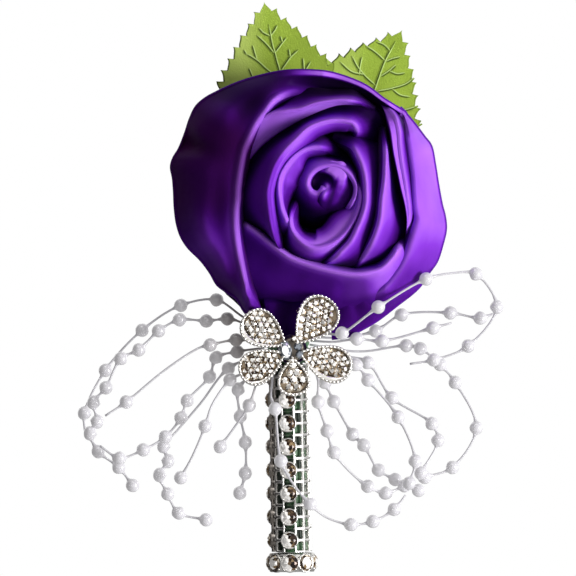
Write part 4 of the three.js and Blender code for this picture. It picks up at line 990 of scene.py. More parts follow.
def foot_places(fold, count):
    """Places along the foot of a fold's wall, one for each place of its rim"""
    rough = traced_line(fold["foot"], middle_height(fold))
    return [rough[round(i / (count - 1) * (len(rough) - 1))] for i in range(count)]


def end_tuck(fold, share, length):
    """How far the rim sinks near the ends of a fold, where it tucks under its neighbours"""
    start, end = fold["tuck_shares"]
    from_start = share * length / (TUCK_LENGTH * start)
    from_end = (1 - share) * length / (TUCK_LENGTH * end)
    return TUCK_DROP * (2 - smooth_steps(0, 1, from_start) - smooth_steps(0, 1, from_end))


def end_fade(fold, share, length):
    """Share of its painted light that a fold keeps near its ends, with painted shade where it tucks under its
    neighbours
    """
    start, end = fold["fades"]
    shown = smooth_steps(0, start * MM, share * length + FADE_LEAD)
    return shown * smooth_steps(0, end * MM, (1 - share) * length + FADE_LEAD)


def satin_fold(fold, seed):
    """One fold of the rose, swept along its rim"""
    name = fold["name"]
    line = fold_lines[name]
    across = sideways(line, rose_middle)
    reaches = fold_reaches(name, line, across)
    count = len(line)
    length = lengths_along(line)[-1]
    feet = foot_places(fold, count) if "foot" in fold else None
    points = []
    gloss = []
    for i, (place, side) in enumerate(zip(line, across)):
        share = i / (count - 1)
        height = ROSE_DEPTH * table_value(fold["height_shares"], share) - end_tuck(fold, share, length)
        fall = ROSE_DEPTH * table_value(fold["fall_shares"], share)
        depth = INNER_DEPTH * fold_value(fold, "depth_shares", share, 1)
        inner = INNER_WIDTH * table_value(fold["inner_shares"], share)
        lip = MM * table_value(fold["lips"], share)
        bend = table_value(fold["bends"], share)
        reach = reaches[i]
        if "reach_pixels" in fold:
            reach = table_value(fold["reach_pixels"], share) * PIXEL
        foot_drop = None
        inward = -side
        if feet:
            gap = feet[i] - place
            inward = gap.normalized()
            inner = max(LEAST_BAND, gap.length - ROLL * 0.9)
            foot_drop = ROSE_DEPTH * table_value(fold["foot_drop_shares"], share)
        glows = [fold_value(fold, key, share, USUAL_PAINTED_LIGHT) for key in GLOW_TABLES]
        fade = end_fade(fold, share, length)
        closed = "closed_under" in fold
        section = fold_section(height, inner, depth, foot_drop, reach, fall, lip, bend, closed)
        for aside, level, open_share in section:
            spot = place + (side if aside >= 0 else -inward) * aside
            grain = Vector((share * length / WRINKLE_ALONG, aside / WRINKLE_ACROSS, seed))
            wave = noise.noise(grain) * WRINKLE_DEPTH * smooth_steps(0, ROLL * 3, aside)
            points.append((spot.x, ROSE_BACK - level - wave, spot.z))
            # Painted light across the fold, with painted shade towards its ends
            gloss.append(fold_painted_light(aside, reach, open_share, glows, foot_drop is not None) * fade)
    faces = grid_faces(count, len(points) // count)
    satin_sheet(name + "_satin", name, points, faces, gloss, length)


for number, fold in enumerate(FOLDS + [BUD]):
    satin_fold(fold, number * FOLD_SEED_STEP)


# In each outer petal, glows, edge_glows, ridge_glow and crest are painted light and shade on its rim, edge,
# ridges and crest; warms turn its dome a darker red-violet
LEFT_PETAL = {
    "name": "outer_petal_left",
    "angles": (45, 243),
    "top_shares": [(46, 0.6), (80, 0.6), (104, 0.74), (125, 0.84), (150, 0.86), (190, 0.84), (231, 0.62),
                   (236, 0.54), (240, 0.4), (243, 0.34)],
    "edge_shares": [(46, 0.5), (60, 0.6), (100, 0.6), (125, 0.44), (150, 0.32), (200, 0.3), (243, 0.24)],
    "cup": (88, 116),
    "lip": 0.9,
    "crevice_share": 0.36,
    "dome": 2.1,
    "ridges": [(141, 0.62, 7, 0.22, 1.3), (160, 0.9, 3.5, 0.3, -1.6), (153, 0.8, 5, 0.25, 0.8),
               (168, 0.7, 9, 0.3, 0.7), (196, 0.62, 14, 0.16, 1.1), (190, 0.3, 20, 0.14, -0.5),
               (215, 0.6, 9, 0.2, 0.8), (128, 0.4, 8, 0.2, -0.6), (224, 0.85, 5, 0.3, -0.8)],
    "seed": 60.5,
    "crest": 0.95,
    "crest_end": (226, 243),
    "glows": [(46, 0.1), (104, 0.1), (118, 0.22), (130, 0.2), (142, 0.28), (160, 0.45), (185, 0.48),
              (205, 0.6), (225, 0.5), (238, 0.45)],
    "edge_glows": [(46, 0.4), (115, 0.25), (134, 0.12), (145, 0.42), (155, 0.24), (185, 0.3), (205, 0.45),
                   (238, 0.4)],
    "ridge_glow": 0.5,
    "warms": [(46, 0), (130, 0.1), (150, 0.75), (180, 0.6), (205, 0.1), (222, 0.35), (238, 0.2)],
}
RIGHT_PETAL = {
    "name": "outer_petal_right",
    "angles": (-86, 47.5),
    "top_shares": [(-86, 0.22), (-75, 0.3), (-67, 0.4), (-55, 0.53), (-30, 0.64), (0, 0.68), (32, 0.64),
                   (44, 0.44)],
    "edge_shares": [(-86, 0.16), (-67, 0.22), (-40, 0.28), (0, 0.3), (30, 0.34), (44, 0.36)],
    "cup": (-400, -399),
    "lip": 0.1,
    "crevice_share": 0.3,
    "dome": 1.7,
    "ridges": [(24, 0.7, 5, 0.3, 0.5), (14, 0.6, 6, 0.3, -0.45), (-10, 0.55, 12, 0.25, 0.5),
               (-33, 0.6, 7, 0.3, -0.5), (-52, 0.5, 8, 0.3, 0.5), (-68, 0.4, 5, 0.3, -0.5)],
    "seed": 71.5,
    "crest": 0.85,
    "crest_end": (90, 91),
    "glows": [(-86, 0.35), (-60, 0.42), (-45, 0.55), (-31, 0.75), (-15, 0.88), (15, 0.9), (44, 0.85)],
    "edge_glows": [(-86, 0.35), (-60, 0.42), (-45, 0.5), (-31, 0.66), (-15, 0.84), (15, 0.96), (44, 0.9)],
    "ridge_glow": 0.2,
    "warms": [(-86, 0.1), (44, 0)],
}


def petal_wall(inner, top, crevice, crest):
    """Places of a petal's inner wall and rolled rim, domed and cupped, with the painted light of each form:
    painted shade down the wall, painted light on the crest
    """
    section = []
    for i in range(INNER_STEPS):
        share = i / INNER_STEPS
        deep = INNER_DEPTH * (1 - share) ** 1.4
        domed = (inner - PETAL_ROLL - INNER_WIDTH * (1 - share), top - ROLL - deep)
        cupped = (inner - CUP_WIDTH * (1 - share) - CUP_INSET, crevice - CUP_DROP * (1 - share))
        section.append((domed, cupped, 0.6 * share, 0))
    for i in range(ROLL_STEPS):
        turn = math.pi - math.pi / 2 * i / ROLL_STEPS
        domed = (inner + PETAL_ROLL * math.cos(turn), top - ROLL + ROLL * math.sin(turn))
        cupped = (inner - CUP_INSET * (1 - i / ROLL_STEPS), crevice + CUP_LIFT * i / ROLL_STEPS)
        section.append((domed, cupped, crest, 0.1))
    return section


def petal_ridge(petal, angle, share, along, across):
    """Height of the drawn ridges and small wrinkles at a place of a petal's face"""
    ridge = 0
    for at, out, wide, deep, high in petal["ridges"]:
        ridge += high * math.exp(-((angle - at) / wide) ** 2 - ((share - out) / deep) ** 2)
    grain = Vector((along / WRINKLE_ALONG, across / WRINKLE_ACROSS / 1.5, petal["seed"]))
    return (ridge + 0.3 * noise.noise(grain)) * MM * smooth_steps(0, 0.12, share)


def petal_face(petal, angle, inner, outer, top, low, crevice, crest):
    """Places of a petal's face from rim to edge, domed and cupped, with the painted light of each form:
    painted light on the crest and ridge tops, painted shade in ridge dips, and a cup in painted shade with
    painted light at its rim
    """
    section = []
    rim_glow = table_value(petal["glows"], angle)
    edge_glow = table_value(petal["edge_glows"], angle)
    for i in range(PETAL_STEPS + 1):
        share = i / PETAL_STEPS
        out = (outer - inner) * share
        ridge = petal_ridge(petal, angle, share, angle * inner / ARC_DEGREES, out)
        behind = petal["lip"] * MM * smooth_steps(0, LIP_WIDTH, out)
        fall = (top - low - behind) * share ** petal["dome"]
        curl = crevice + (low - crevice) * smooth_steps(0.05, 0.84, share)
        face = rim_glow + (edge_glow - rim_glow) * share
        near = math.exp(-(out / CREST_WIDTH) ** 1.5)
        dome_painted_light = face + (crest - face) * near + 0.35 * ridge / MM * petal["ridge_glow"]
        cup_painted_light = 0.03 + smooth_steps(0.62, 0.86, share) ** 2
        domed = (inner + out, top - behind - fall + ridge)
        cupped = (inner + out, curl + ridge * 0.1)
        section.append((domed, cupped, dome_painted_light, cup_painted_light))
    return section


def outer_petal(petal, rim_line, edge_line):
    """Outer petal: domed where its rim is on the inside, a cup where its rim is the silhouette"""
    rim = polar_reader(rim_line)
    edge = polar_reader(edge_line)
    first, last = petal["angles"]
    count = round((last - first) / PETAL_TURN)
    crevice = ROSE_DEPTH * petal["crevice_share"]
    points = []
    gloss = []
    warm = []
    for row in range(count + 1):
        angle = first + (last - first) * row / count
        inner = rim(angle)
        outer = max(edge(angle), inner + LEAST_FACE)
        top = ROSE_DEPTH * table_value(petal["top_shares"], angle)
        low = min(ROSE_DEPTH * table_value(petal["edge_shares"], angle), top - LEAST_FALL)
        cup = 1 - smooth_steps(*petal["cup"], angle)
        crest = petal["crest"] * (1 - CREST_END_FADE_SHARE * smooth_steps(*petal["crest_end"], angle))
        section = petal_wall(inner, top, crevice, crest)
        section += petal_face(petal, angle, inner, outer, top, low, crevice, crest)
        for i, (radius, height) in enumerate(round_under(outer, low)):
            share = max(0, (i - EDGE_ROLL_STEPS) / BACK_STEPS)
            height += gathers(angle, smooth_steps(0.2, 1, share), petal["seed"])
            section.append(((radius, height), (radius, height), 0.5, 0.5))
        for domed, cupped, dome_painted_light, cup_painted_light in section:
            radius = domed[0] + (cupped[0] - domed[0]) * cup
            height = domed[1] + (cupped[1] - domed[1]) * cup
            points.append(rose_place(angle, radius, max(height, BACK_HEIGHT)))
            gloss.append(dome_painted_light + (cup_painted_light - dome_painted_light) * cup)
            warm.append(table_value(petal["warms"], angle) * (1 - cup))
    faces = grid_faces(count + 1, len(points) // (count + 1))
    name = petal["name"]
    piece = satin_sheet(name + "_satin", name, points, faces, gloss, lengths_along(edge_line)[-1])
    store(piece, "warm", warm)


outer_petal(LEFT_PETAL, fold_lines["outer_petal_left"], left_edge_line)
outer_petal(RIGHT_PETAL, fold_lines["outer_petal_right"], right_edge_line)


# Sewn back: one layer of satin drawn in to the base behind the petals' folded ends
COVER_FROM_SHARE = 0.1
COVER_GAP = 1.3 * MM
COVER_TUCK = 0.1 * MM
COVER_ROWS = 22
COVER_TURNS = 240
COVER_MIDDLE = 22 * MM
# Even painted light of the sewn back
COVER_PAINTED_LIGHT = 0.38
COVER_SEED = 33.5


def petal_edges():
    """Reader of the petals' outer radius and height at an angle, carried across the gap between them"""
    readers = {"left": polar_reader(left_edge_line), "right": polar_reader(right_edge_line)}

    def edge_of(side, petal, angle):
        height = ROSE_DEPTH * table_value(petal["edge_shares"], angle) - 2 * EDGE_ROLL
        return readers[side](angle), height

    def read(angle):
        first, last = LEFT_PETAL["angles"]
        if angle < first:
            return edge_of("right", RIGHT_PETAL, angle)
        if angle <= last:
            return edge_of("left", LEFT_PETAL, angle)
        end = RIGHT_PETAL["angles"][0] + 360
        if angle >= end:
            return edge_of("right", RIGHT_PETAL, angle - 360)
        before = edge_of("left", LEFT_PETAL, last)
        after = edge_of("right", RIGHT_PETAL, end - 360)
        share = (angle - last) / (end - last)
        return tuple(low + (high - low) * share for low, high in zip(before, after))

    return read


def sewn_back():
    """Sheet of satin from behind the petals' edges to the sewn base"""
    edge_at = petal_edges()
    points = []
    for i in range(COVER_TURNS):
        angle = 360 * i / COVER_TURNS
        edge, low = edge_at(angle)
        for row in range(COVER_ROWS + 1):
            share = COVER_FROM_SHARE + (1 - COVER_FROM_SHARE) * row / COVER_ROWS
            behind = COVER_GAP * smooth_steps(COVER_FROM_SHARE, 3 * COVER_FROM_SHARE, share) - COVER_TUCK
            height = low + (BACK_HEIGHT - low) * share ** 0.55 - behind
            height += gathers(angle, smooth_steps(0.2, 1, share), COVER_SEED)
            points.append(rose_place(angle, edge + (BACK_RADIUS - edge) * share, height))
    columns = COVER_ROWS + 1
    faces = grid_faces(COVER_TURNS, columns)
    last = (COVER_TURNS - 1) * columns
    faces += [(last + row, last + row + 1, row + 1, row) for row in range(COVER_ROWS)]
    gloss = [COVER_PAINTED_LIGHT] * len(points)
    length = math.tau * COVER_MIDDLE
    satin_sheet("sewn_back_satin", "rose_base", points, faces, gloss, length, to_back=True)


sewn_back()


# Sewn base and heart of the rose
BASE_RADIUS = 19 * MM
BASE_BACK = -5.6 * MM
BASE_RINGS = 22
BASE_TURNS = 180
HEART_RADIUS = 8.2 * MM
HEART_HEIGHT = 6.4 * MM
HEART_SPIRAL = 0.35 * MM
BASE_PLEAT = 0.55 * MM
# Even painted light of the sewn base, and painted shade of the heart deep inside the folds
BASE_PAINTED_LIGHT = 0.45
HEART_PAINTED_SHADE = 0.16


def gathered_disc(name, node, radius, back, front, pleat):
    """Round sewn disc of satin: a smooth front and a gathered back drawn to a middle stitch"""
    points = []
    for ring in range(BASE_RINGS + 1):
        share = ring / BASE_RINGS
        for i in range(BASE_TURNS):
            angle = 360 * i / BASE_TURNS
            wave = math.sin(math.radians(angle) * GATHERS + 2.2 * noise.noise(Vector((angle / 25, share, 3))))
            depth = back - pleat * (0.5 + 0.5 * wave) * smooth_steps(0, 0.25, share) * (1.1 - share)
            rim = 1 - share ** 14
            points.append(rose_place(angle, radius * share, ROSE_BACK - (front + (depth - front) * rim)))
    last = BASE_RINGS * BASE_TURNS
    back_faces = grid_faces(BASE_RINGS + 1, BASE_TURNS, True)
    faces = back_faces + [tuple(corner + last + BASE_TURNS for corner in face) for face in back_faces]
    for ring in range(BASE_RINGS, -1, -1):
        for i in range(BASE_TURNS):
            angle = 360 * i / BASE_TURNS
            points.append(rose_place(angle, radius * ring / BASE_RINGS, ROSE_BACK - front))
    for i in range(BASE_TURNS):
        beside = (i + 1) % BASE_TURNS
        faces.append((last + i, last + beside, last + BASE_TURNS + beside, last + BASE_TURNS + i))
    piece = new_piece(name, points, faces, SATIN, (node,))
    weld(piece)
    store(piece, "gloss", [BASE_PAINTED_LIGHT] * len(piece.data.vertices))


gathered_disc("rose_base_satin", "rose_base", BASE_RADIUS, BASE_BACK + BASE_PLEAT, ROSE_BACK, BASE_PLEAT)


def heart_piece():
    """Rolled core of the rose, deep inside the folds"""
    points = []
    for ring in range(BASE_RINGS + 1):
        share = ring / BASE_RINGS
        for i in range(BASE_TURNS // 3):
            angle = 360 * 3 * i / BASE_TURNS
            spiral = HEART_SPIRAL * math.sin(math.tau * (share * 3 - angle / 360))
            radius = HEART_RADIUS * math.sin(share * math.pi / 2)
            height = HEART_HEIGHT * math.cos(share * math.pi / 2) + spiral * (1 - share)
            points.append(rose_place(angle, radius, max(0, height)))
    faces = grid_faces(BASE_RINGS + 1, BASE_TURNS // 3, True)
    last = BASE_RINGS * (BASE_TURNS // 3)
    faces.append(tuple(range(last, last + BASE_TURNS // 3)))
    piece = new_piece("rose_heart_satin", points, faces, SATIN, ("rose_heart",))
    weld(piece)
    store(piece, "gloss", [HEART_PAINTED_SHADE] * len(piece.data.vertices))


heart_piece()


# Inside of the bud: a turned end of ribbon, with painted shade in its middle and painted light where it rolls
# over to the right
BUD_CENTRE = (321.8, 182)
BUD_HEIGHT = 0.8 * ROSE_DEPTH
BUD_RINGS = 26
BUD_TURNS = 96
BUD_SHADED_HOLLOW = (11.5, 9)
BUD_REACHES = [(-180, 12), (-150, 13), (-125, 16), (-100, 26), (-80, 38), (-60, 42), (-35, 39), (0, 34.5),
               (40, 30), (60, 24), (90, 17), (125, 15), (155, 14), (180, 12)]
LOBE_GLOWS = [(-120, 0.12), (-80, 0.3), (-50, 0.45), (-25, 0.6), (0, 0.86), (15, 1.08), (40, 1.2),
              (60, 1.12), (85, 0.6), (110, 0.2), (180, 0.12)]
LOBE_ENDS = [(-90, 15), (-60, 15), (-35, 12), (0, 13), (20, 16), (45, 20), (70, 16), (100, 8)]
TAIL_PLACE = (3.5, -9)
TAIL_SIZE = (5.2, 11)
TAIL_TURN = math.radians(-18)
TAIL_SHADE_WIDTH = 2.3
LOBE_SOFTNESS = 3
BUD_FALL_ROWS = (18, 40)
BUD_STRIP = 11.5 * MM
BUD_HOLLOW = 1.4 * MM
LOBE_RISE = 1.3 * MM
TAIL_RISE = 1.7 * MM
BUD_FALL = 3 * MM
BUD_EDGE_FALL = 1 * MM


def bud_painted_light(column, row):
    """Painted light inside the bud at a picture place from its centre, with painted shade in its hollow and
    beside the tail, and the shares of its forms there
    """
    angle = math.degrees(math.atan2(row, column))
    radius = math.hypot(column, row)
    hollow = math.hypot(column / BUD_SHADED_HOLLOW[0], row / BUD_SHADED_HOLLOW[1])
    opened = smooth_steps(0.85, 1.25, hollow)
    past = radius - table_value(LOBE_ENDS, angle) - BUD_SHADED_HOLLOW[0]
    lit = opened * (1 - 0.75 * smooth_steps(-LOBE_SOFTNESS, LOBE_SOFTNESS, past))
    lobe = table_value(LOBE_GLOWS, angle) * lit
    x, z = column - TAIL_PLACE[0], row - TAIL_PLACE[1]
    beside = x * math.cos(TAIL_TURN) + z * math.sin(TAIL_TURN)
    along = z * math.cos(TAIL_TURN) - x * math.sin(TAIL_TURN)
    tail = math.exp(-(beside / TAIL_SIZE[0]) ** 2 - (along / TAIL_SIZE[1]) ** 4)
    # Painted shade in a strip beside the tail
    shade_beside_tail = math.exp(-((beside - 1.5 * TAIL_SIZE[0]) / TAIL_SHADE_WIDTH) ** 2 - (along / (1.5 * TAIL_SIZE[1])) ** 4)
    return max(0.05, lobe * (1 - 0.7 * shade_beside_tail), 0.95 * tail), lobe, tail, hollow


def bud_heart():
    """Sheet of satin inside the bud"""
    points = []
    gloss = []
    for ring in range(BUD_RINGS + 1):
        share = ring / BUD_RINGS
        for i in range(BUD_TURNS):
            angle = 360 * i / BUD_TURNS - 180
            radius = share * table_value(BUD_REACHES, angle)
            column = radius * math.cos(math.radians(angle))
            row = radius * math.sin(math.radians(angle))
            tone, lobe, tail, hollow = bud_painted_light(column, row)
            level = BUD_HEIGHT - BUD_HOLLOW * (1 - smooth_steps(0.5, 1.4, hollow))
            level += LOBE_RISE * lobe + TAIL_RISE * tail
            level -= BUD_FALL * smooth_steps(*BUD_FALL_ROWS, -row)
            level -= BUD_EDGE_FALL * smooth_steps(0.75, 1, share)
            spot = flat_place(BUD_CENTRE[0] + column, BUD_CENTRE[1] - row, level)
            points.append((spot.x, ROSE_BACK - level, spot.z))
            gloss.append(tone)
    faces = grid_faces(BUD_RINGS + 1, BUD_TURNS, True)
    satin_sheet("bud_inside_satin", "bud_curl", points, faces, gloss, BUD_STRIP)


bud_heart()


# Tail of the ribbon: gathered down into the neck behind the ornament
NECK_TAIL_EDGES = [(288, 262, 330), (300, 264, 326), (312, 266, 318), (324, 267, 313), (340, 268, 310)]
NECK_TAIL_DEPTH = -13.3 * MM
TAIL_COLUMNS = 60
TAIL_ROWS = 24
TAIL_PLEATS = 1.6
TAIL_PLEAT_DEPTH = 0.4 * MM
TAIL_SINK = 4.5 * MM
TAIL_BEND = 1.6 * MM
TAIL_STRIP = 12.5 * MM


def neck_tail():
    """Pleated end of ribbon that runs down into the neck"""
    left_edge = [(row, left) for row, left, right in NECK_TAIL_EDGES]
    right_edge = [(row, right) for row, left, right in NECK_TAIL_EDGES]
    top = left_edge[0][0]
    foot = left_edge[-1][0]
    points = []
    gloss = []
    for i in range(TAIL_ROWS + 1):
        down = i / TAIL_ROWS
        row = top + (foot - top) * down
        left = table_value(left_edge, row)
        right = table_value(right_edge, row)
        for j in range(TAIL_COLUMNS + 1):
            share = j / TAIL_COLUMNS
            wave = math.sin(TAIL_PLEATS * math.tau * (share + 0.08 * math.sin(3 * down)))
            back = TAIL_BEND * (2 * share - 1) ** 2 * down + TAIL_SINK * (1 - smooth_steps(0, 0.32, down))
            depth = NECK_TAIL_DEPTH + back - TAIL_PLEAT_DEPTH * wave
            spot = picture_place(left + (right - left) * share, row, depth)
            points.append((spot.x, depth, spot.z))
            # Painted light on the pleats' ridges and painted shade in their folds
            gloss.append(0.24 + 0.09 * wave)
    faces = grid_faces(TAIL_ROWS + 1, TAIL_COLUMNS + 1)
    satin_sheet("neck_tail_satin", "rose_fold_7", points, faces, gloss, TAIL_STRIP)


neck_tail()


# Geometry node trees: one sets a shape on places with a turn and size each, one strings beads on a line
def tree_of_nodes(name, inputs):
    """Geometry node tree with named inputs; gives the sheet, the input wires and the inputs' identifiers"""
    tree = bpy.data.node_groups.new(name, "GeometryNodeTree")
    tree.interface.new_socket("Geometry", in_out="INPUT", socket_type="NodeSocketGeometry")
    identifiers = {}
    for label, kind in inputs.items():
        item = tree.interface.new_socket(label, in_out="INPUT", socket_type="NodeSocket" + kind)
        identifiers[label] = item.identifier
    tree.interface.new_socket("Geometry", in_out="OUTPUT", socket_type="NodeSocketGeometry")
    sheet = Sheet(tree)
    start = sheet.tree.nodes.new("NodeGroupInput")
    wires = {output.name: Wire(sheet, output) for output in start.outputs if output.name}
    return sheet, wires, identifiers


def close_tree(sheet, geometry, finish):
    """Turns the copies into one mesh with its finish and ends the tree"""
    whole = sheet.add("GeometryNodeRealizeInstances", {}, {"Geometry": geometry})
    painted = sheet.add("GeometryNodeSetMaterial", {}, {"Geometry": whole, "Material": finish})
    output = sheet.tree.nodes.new("NodeGroupOutput")
    sheet.tree.links.new(painted.socket, output.inputs["Geometry"])


def set_on_places_tree():
    """Tree that sets a shape on each point with a turn, a size and a chance tilt"""
    inputs = {"Shape": "Object", "Size": "Float", "Tilt": "Float", "Seed": "Int", "Finish": "Material"}
    sheet, wires, identifiers = tree_of_nodes("set_on_places", inputs)
    named = {"data_type": "FLOAT_VECTOR"}
    turn = sheet.add("GeometryNodeInputNamedAttribute", named, {"Name": "turn"})
    size = sheet.add("GeometryNodeInputNamedAttribute", named, {"Name": "size"})
    ranges = {"Min": (-1, -1, -1), "Max": (1, 1, 1), "Seed": wires["Seed"]}
    chance = sheet.add("FunctionNodeRandomValue", {"data_type": "FLOAT_VECTOR"}, ranges)
    tilt = sheet.add("ShaderNodeVectorMath", {"operation": "SCALE"}, {0: chance, "Scale": wires["Tilt"]})
    tilted = sheet.add("ShaderNodeVectorMath", {"operation": "ADD"}, {0: turn, 1: tilt})
    rotation = sheet.add("FunctionNodeEulerToRotation", {}, {"Euler": tilted})
    scale = sheet.add("ShaderNodeVectorMath", {"operation": "SCALE"}, {0: size, "Scale": wires["Size"]})
    shape = sheet.add("GeometryNodeObjectInfo", {}, {"Object": wires["Shape"]}, "Geometry")
    sockets = {"Points": wires["Geometry"], "Instance": shape, "Rotation": rotation, "Scale": scale}
    copies = sheet.add("GeometryNodeInstanceOnPoints", {}, sockets)
    close_tree(sheet, copies, wires["Finish"])
    return sheet.tree, identifiers


def beads_along_tree():
    """Tree that strings beads on a line at even spacing"""
    inputs = {"Spacing": "Float", "Bead Radius": "Float", "Finish": "Material"}
    sheet, wires, identifiers = tree_of_nodes("beads_along", inputs)
    line = sheet.add("GeometryNodeMeshToCurve", {}, {"Mesh": wires["Geometry"]})
    even = sheet.add("GeometryNodeResampleCurve", {"mode": "LENGTH"}, {0: line, "Length": wires["Spacing"]})
    bead = sheet.add("GeometryNodeMeshIcoSphere", {}, {"Radius": wires["Bead Radius"], "Subdivisions": 2})
    copies = sheet.add("GeometryNodeInstanceOnPoints", {}, {"Points": even, "Instance": bead})
    close_tree(sheet, copies, wires["Finish"])
    return sheet.tree, identifiers


SET_ON_PLACES = set_on_places_tree()
BEADS_ALONG = beads_along_tree()


def grown(piece, tree_and_inputs, values):
    """Runs a geometry node tree on a piece and keeps the result as its plain mesh"""
    tree, identifiers = tree_and_inputs
    modifier = piece.modifiers.new("grown", "NODES")
    modifier.node_group = tree
    for label, value in values.items():
        modifier[identifiers[label]] = value
    evaluated = piece.evaluated_get(bpy.context.evaluated_depsgraph_get())
    mesh = bpy.data.meshes.new_from_object(evaluated)
    piece.modifiers.remove(modifier)
    bare = piece.data
    piece.data = mesh
    bpy.data.meshes.remove(bare)
    mesh.name = piece.name


def set_on_places(name, shape, spots, finish, nodes=(), size=1.0, tilt=0.0, seed=1):
    """One piece made of copies of a shape; a spot is its place, its turn and its size along X, Y and Z"""
    piece = loose_object(name, [place for place, turn, scale in spots], [], [])
    turns = piece.data.attributes.new("turn", "FLOAT_VECTOR", "POINT")
    sizes = piece.data.attributes.new("size", "FLOAT_VECTOR", "POINT")
    for i, (place, turn, scale) in enumerate(spots):
        turns.data[i].vector = turn.to_euler()
        sizes.data[i].vector = scale
    values = {"Shape": shape, "Size": size, "Tilt": tilt, "Seed": seed, "Finish": finish}
    grown(piece, SET_ON_PLACES, values)
    claim(piece, nodes)


def beads_along(name, loops, spacing, radius, finish, nodes=()):
    """One piece made of round beads strung along closed or open lines"""
    points = []
    edges = []
    for line, closed in loops:
        first = len(points)
        points += line
        edges += [(first + i, first + i + 1) for i in range(len(line) - 1)]
        if closed:
            edges.append((len(points) - 1, first))
    piece = loose_object(name, points, edges, [])
    grown(piece, BEADS_ALONG, {"Spacing": spacing, "Bead Radius": radius, "Finish": finish})
    shade_smooth(piece)
    claim(piece, nodes)


def drop_shape(shape):
    """Removes a shape that was there only to be copied"""
    mesh = shape.data
    bpy.data.objects.remove(shape)
    bpy.data.meshes.remove(mesh)


# Cut stones: table, star facets, girdle and a pointed back, all of unit radius and height
STONE_RING_SHARES = [(0.5, 1, 0), (0.8, 0.66, 0.5), (1, 0.2, 0), (1, 0.08, 0.5), (0.45, -0.25, 0)]


def facet_faces(rings, sides):
    """Faces of a cut stone: its table, triangles from ring to ring and its point"""
    faces = [tuple(range(sides))]
    for number, (radius, height, twist) in enumerate(rings[:-1]):
        for i in range(sides):
            a = number * sides + i
            b = number * sides + (i + 1) % sides
            c, d = a + sides, b + sides
            faces += [(a, c, b), (b, c, d)] if twist == 0 else [(a, d, b), (a, c, d)]
    low = (len(rings) - 1) * sides
    faces.append(tuple(range(low + sides - 1, low - 1, -1)))
    return faces


def cut_stone_mesh(sides, seed):
    """Points, faces and a painted reflection for each facet of a round stone whose axis is +Z"""
    points = []
    for radius, height, twist in STONE_RING_SHARES:
        points += ring_points(sides, radius, height, twist)
    faces = facet_faces(STONE_RING_SHARES, sides)
    chance = random.Random(seed)
    tones = [0.95] + [chance.choice((0.12, 0.32, 0.6, 1.0, 1.0)) for face in faces[1:1 + 2 * sides]]
    tones += [chance.choice((0.06, 0.2, 0.36, 0.55)) for face in faces[1 + 2 * sides:]]
    return points, faces, tones


def stone_object(name, sides, seed, radius, height):
    """Stone to be copied, with a painted reflection for each facet"""
    points, faces, tones = cut_stone_mesh(sides, seed)
    scaled = [(x * radius, y * radius, z * height) for x, y, z in points]
    stone = loose_object(name, scaled, [], faces)
    store(stone, "cut", tones, "FACE")
    return stone


# Leaves: saw-toothed cloth with pressed veins, cupped towards the front at the edges
LEAF_LENGTH = 44 * MM
LEAF_WIDTH = 31 * MM
LEAF_THICKNESS = 0.5 * MM
LEAF_CUP = 0.6 * MM
LEAF_WAVE = 0.25 * MM
LEAF_WAVE_WIDTH = 7 * MM
LEAF_TOOTH = 1.25 * MM
LEAF_PITCH = 2.3 * MM
TOOTH_LIFT = 0.75 * MM
TOOTH_STEPS = 7
TOOTH_POINT = 1
LEAF_COLUMNS = 60
EDGE_STEPS = (0, 0.2 * MM, 0.45 * MM)
VEIN_WIDTH = 0.16 * MM
VEIN_PROUD = 0.07 * MM
VEIN_RIDGE = 0.07 * MM
VEIN_STEP = 0.35 * MM
LEAF_SHARES = [(0, 0), (0.061, 0.09), (0.114, 0.203), (0.16, 0.33), (0.216, 0.458), (0.273, 0.568),
               (0.327, 0.69), (0.4, 0.8), (0.5, 0.88), (0.6, 0.89), (0.7, 0.84), (0.8, 0.7), (0.9, 0.44),
               (1, 0.12)]
LEAVES = [
    {
        "name": "leaf_left", "tip": (-9.7 * MM, 40.8 * MM), "degrees": 99, "back": -3.9 * MM,
        "pale": [(-15.5 * MM, 2), (-8 * MM, 0)],
        "veins": [[(268.8, 24), (270.7, 36), (272.7, 46), (275, 53.6), (277.3, 62.7), (279.2, 69), (282, 90)],
                  [(259, 28.3), (263.6, 32.9), (269.8, 36)], [(277.3, 25.2), (275, 29.8), (270.4, 36)],
                  [(256.7, 35.2), (265, 42.8), (273.8, 53)], [(286.5, 37.5), (281.2, 44.4), (274.8, 53)],
                  [(298.8, 49.7), (291, 56.6), (285, 65), (280, 72)], [(288.8, 49), (290, 57)],
                  [(245.2, 53.6), (251.3, 56.6), (259, 62), (266.6, 69), (276, 76)],
                  [(252.5, 45), (255, 53.6), (256.8, 60)], [(249, 68), (252.8, 77)], [(280.4, 36), (282, 42)],
                  [(311, 61), (304.9, 71), (298, 84)], [(303, 58), (304, 72)], [(247, 55), (244, 50)]],
    },
    {
        "name": "leaf_right", "tip": (20.93 * MM, 34.6 * MM), "degrees": 62, "back": -2.4 * MM,
        "pale": [(9 * MM, 1), (13.5 * MM, 0)],
        "veins": [[(396, 41), (385, 61), (374.5, 90), (362, 125)],
                  [(376, 86), (365, 76), (357, 66), (352, 56)], [(359, 75), (360, 66), (362, 57)],
                  [(385, 62), (392, 59), (400, 57)], [(390, 51), (384, 45), (377, 42)],
                  [(380, 77), (389, 71), (396, 65)], [(389, 71), (397, 74), (405, 73)],
                  [(374, 92), (390, 89), (406, 84), (414, 78)], [(392, 89), (400, 95), (410, 97)],
                  [(368, 106), (388, 108), (404, 110), (418, 106)], [(385, 61), (375, 52), (366, 46)],
                  [(363, 122), (385, 128), (410, 128), (422, 124)], [(366, 75), (352, 72), (340, 62)],
                  [(370, 100), (354, 88), (338, 76)]],
    },
]


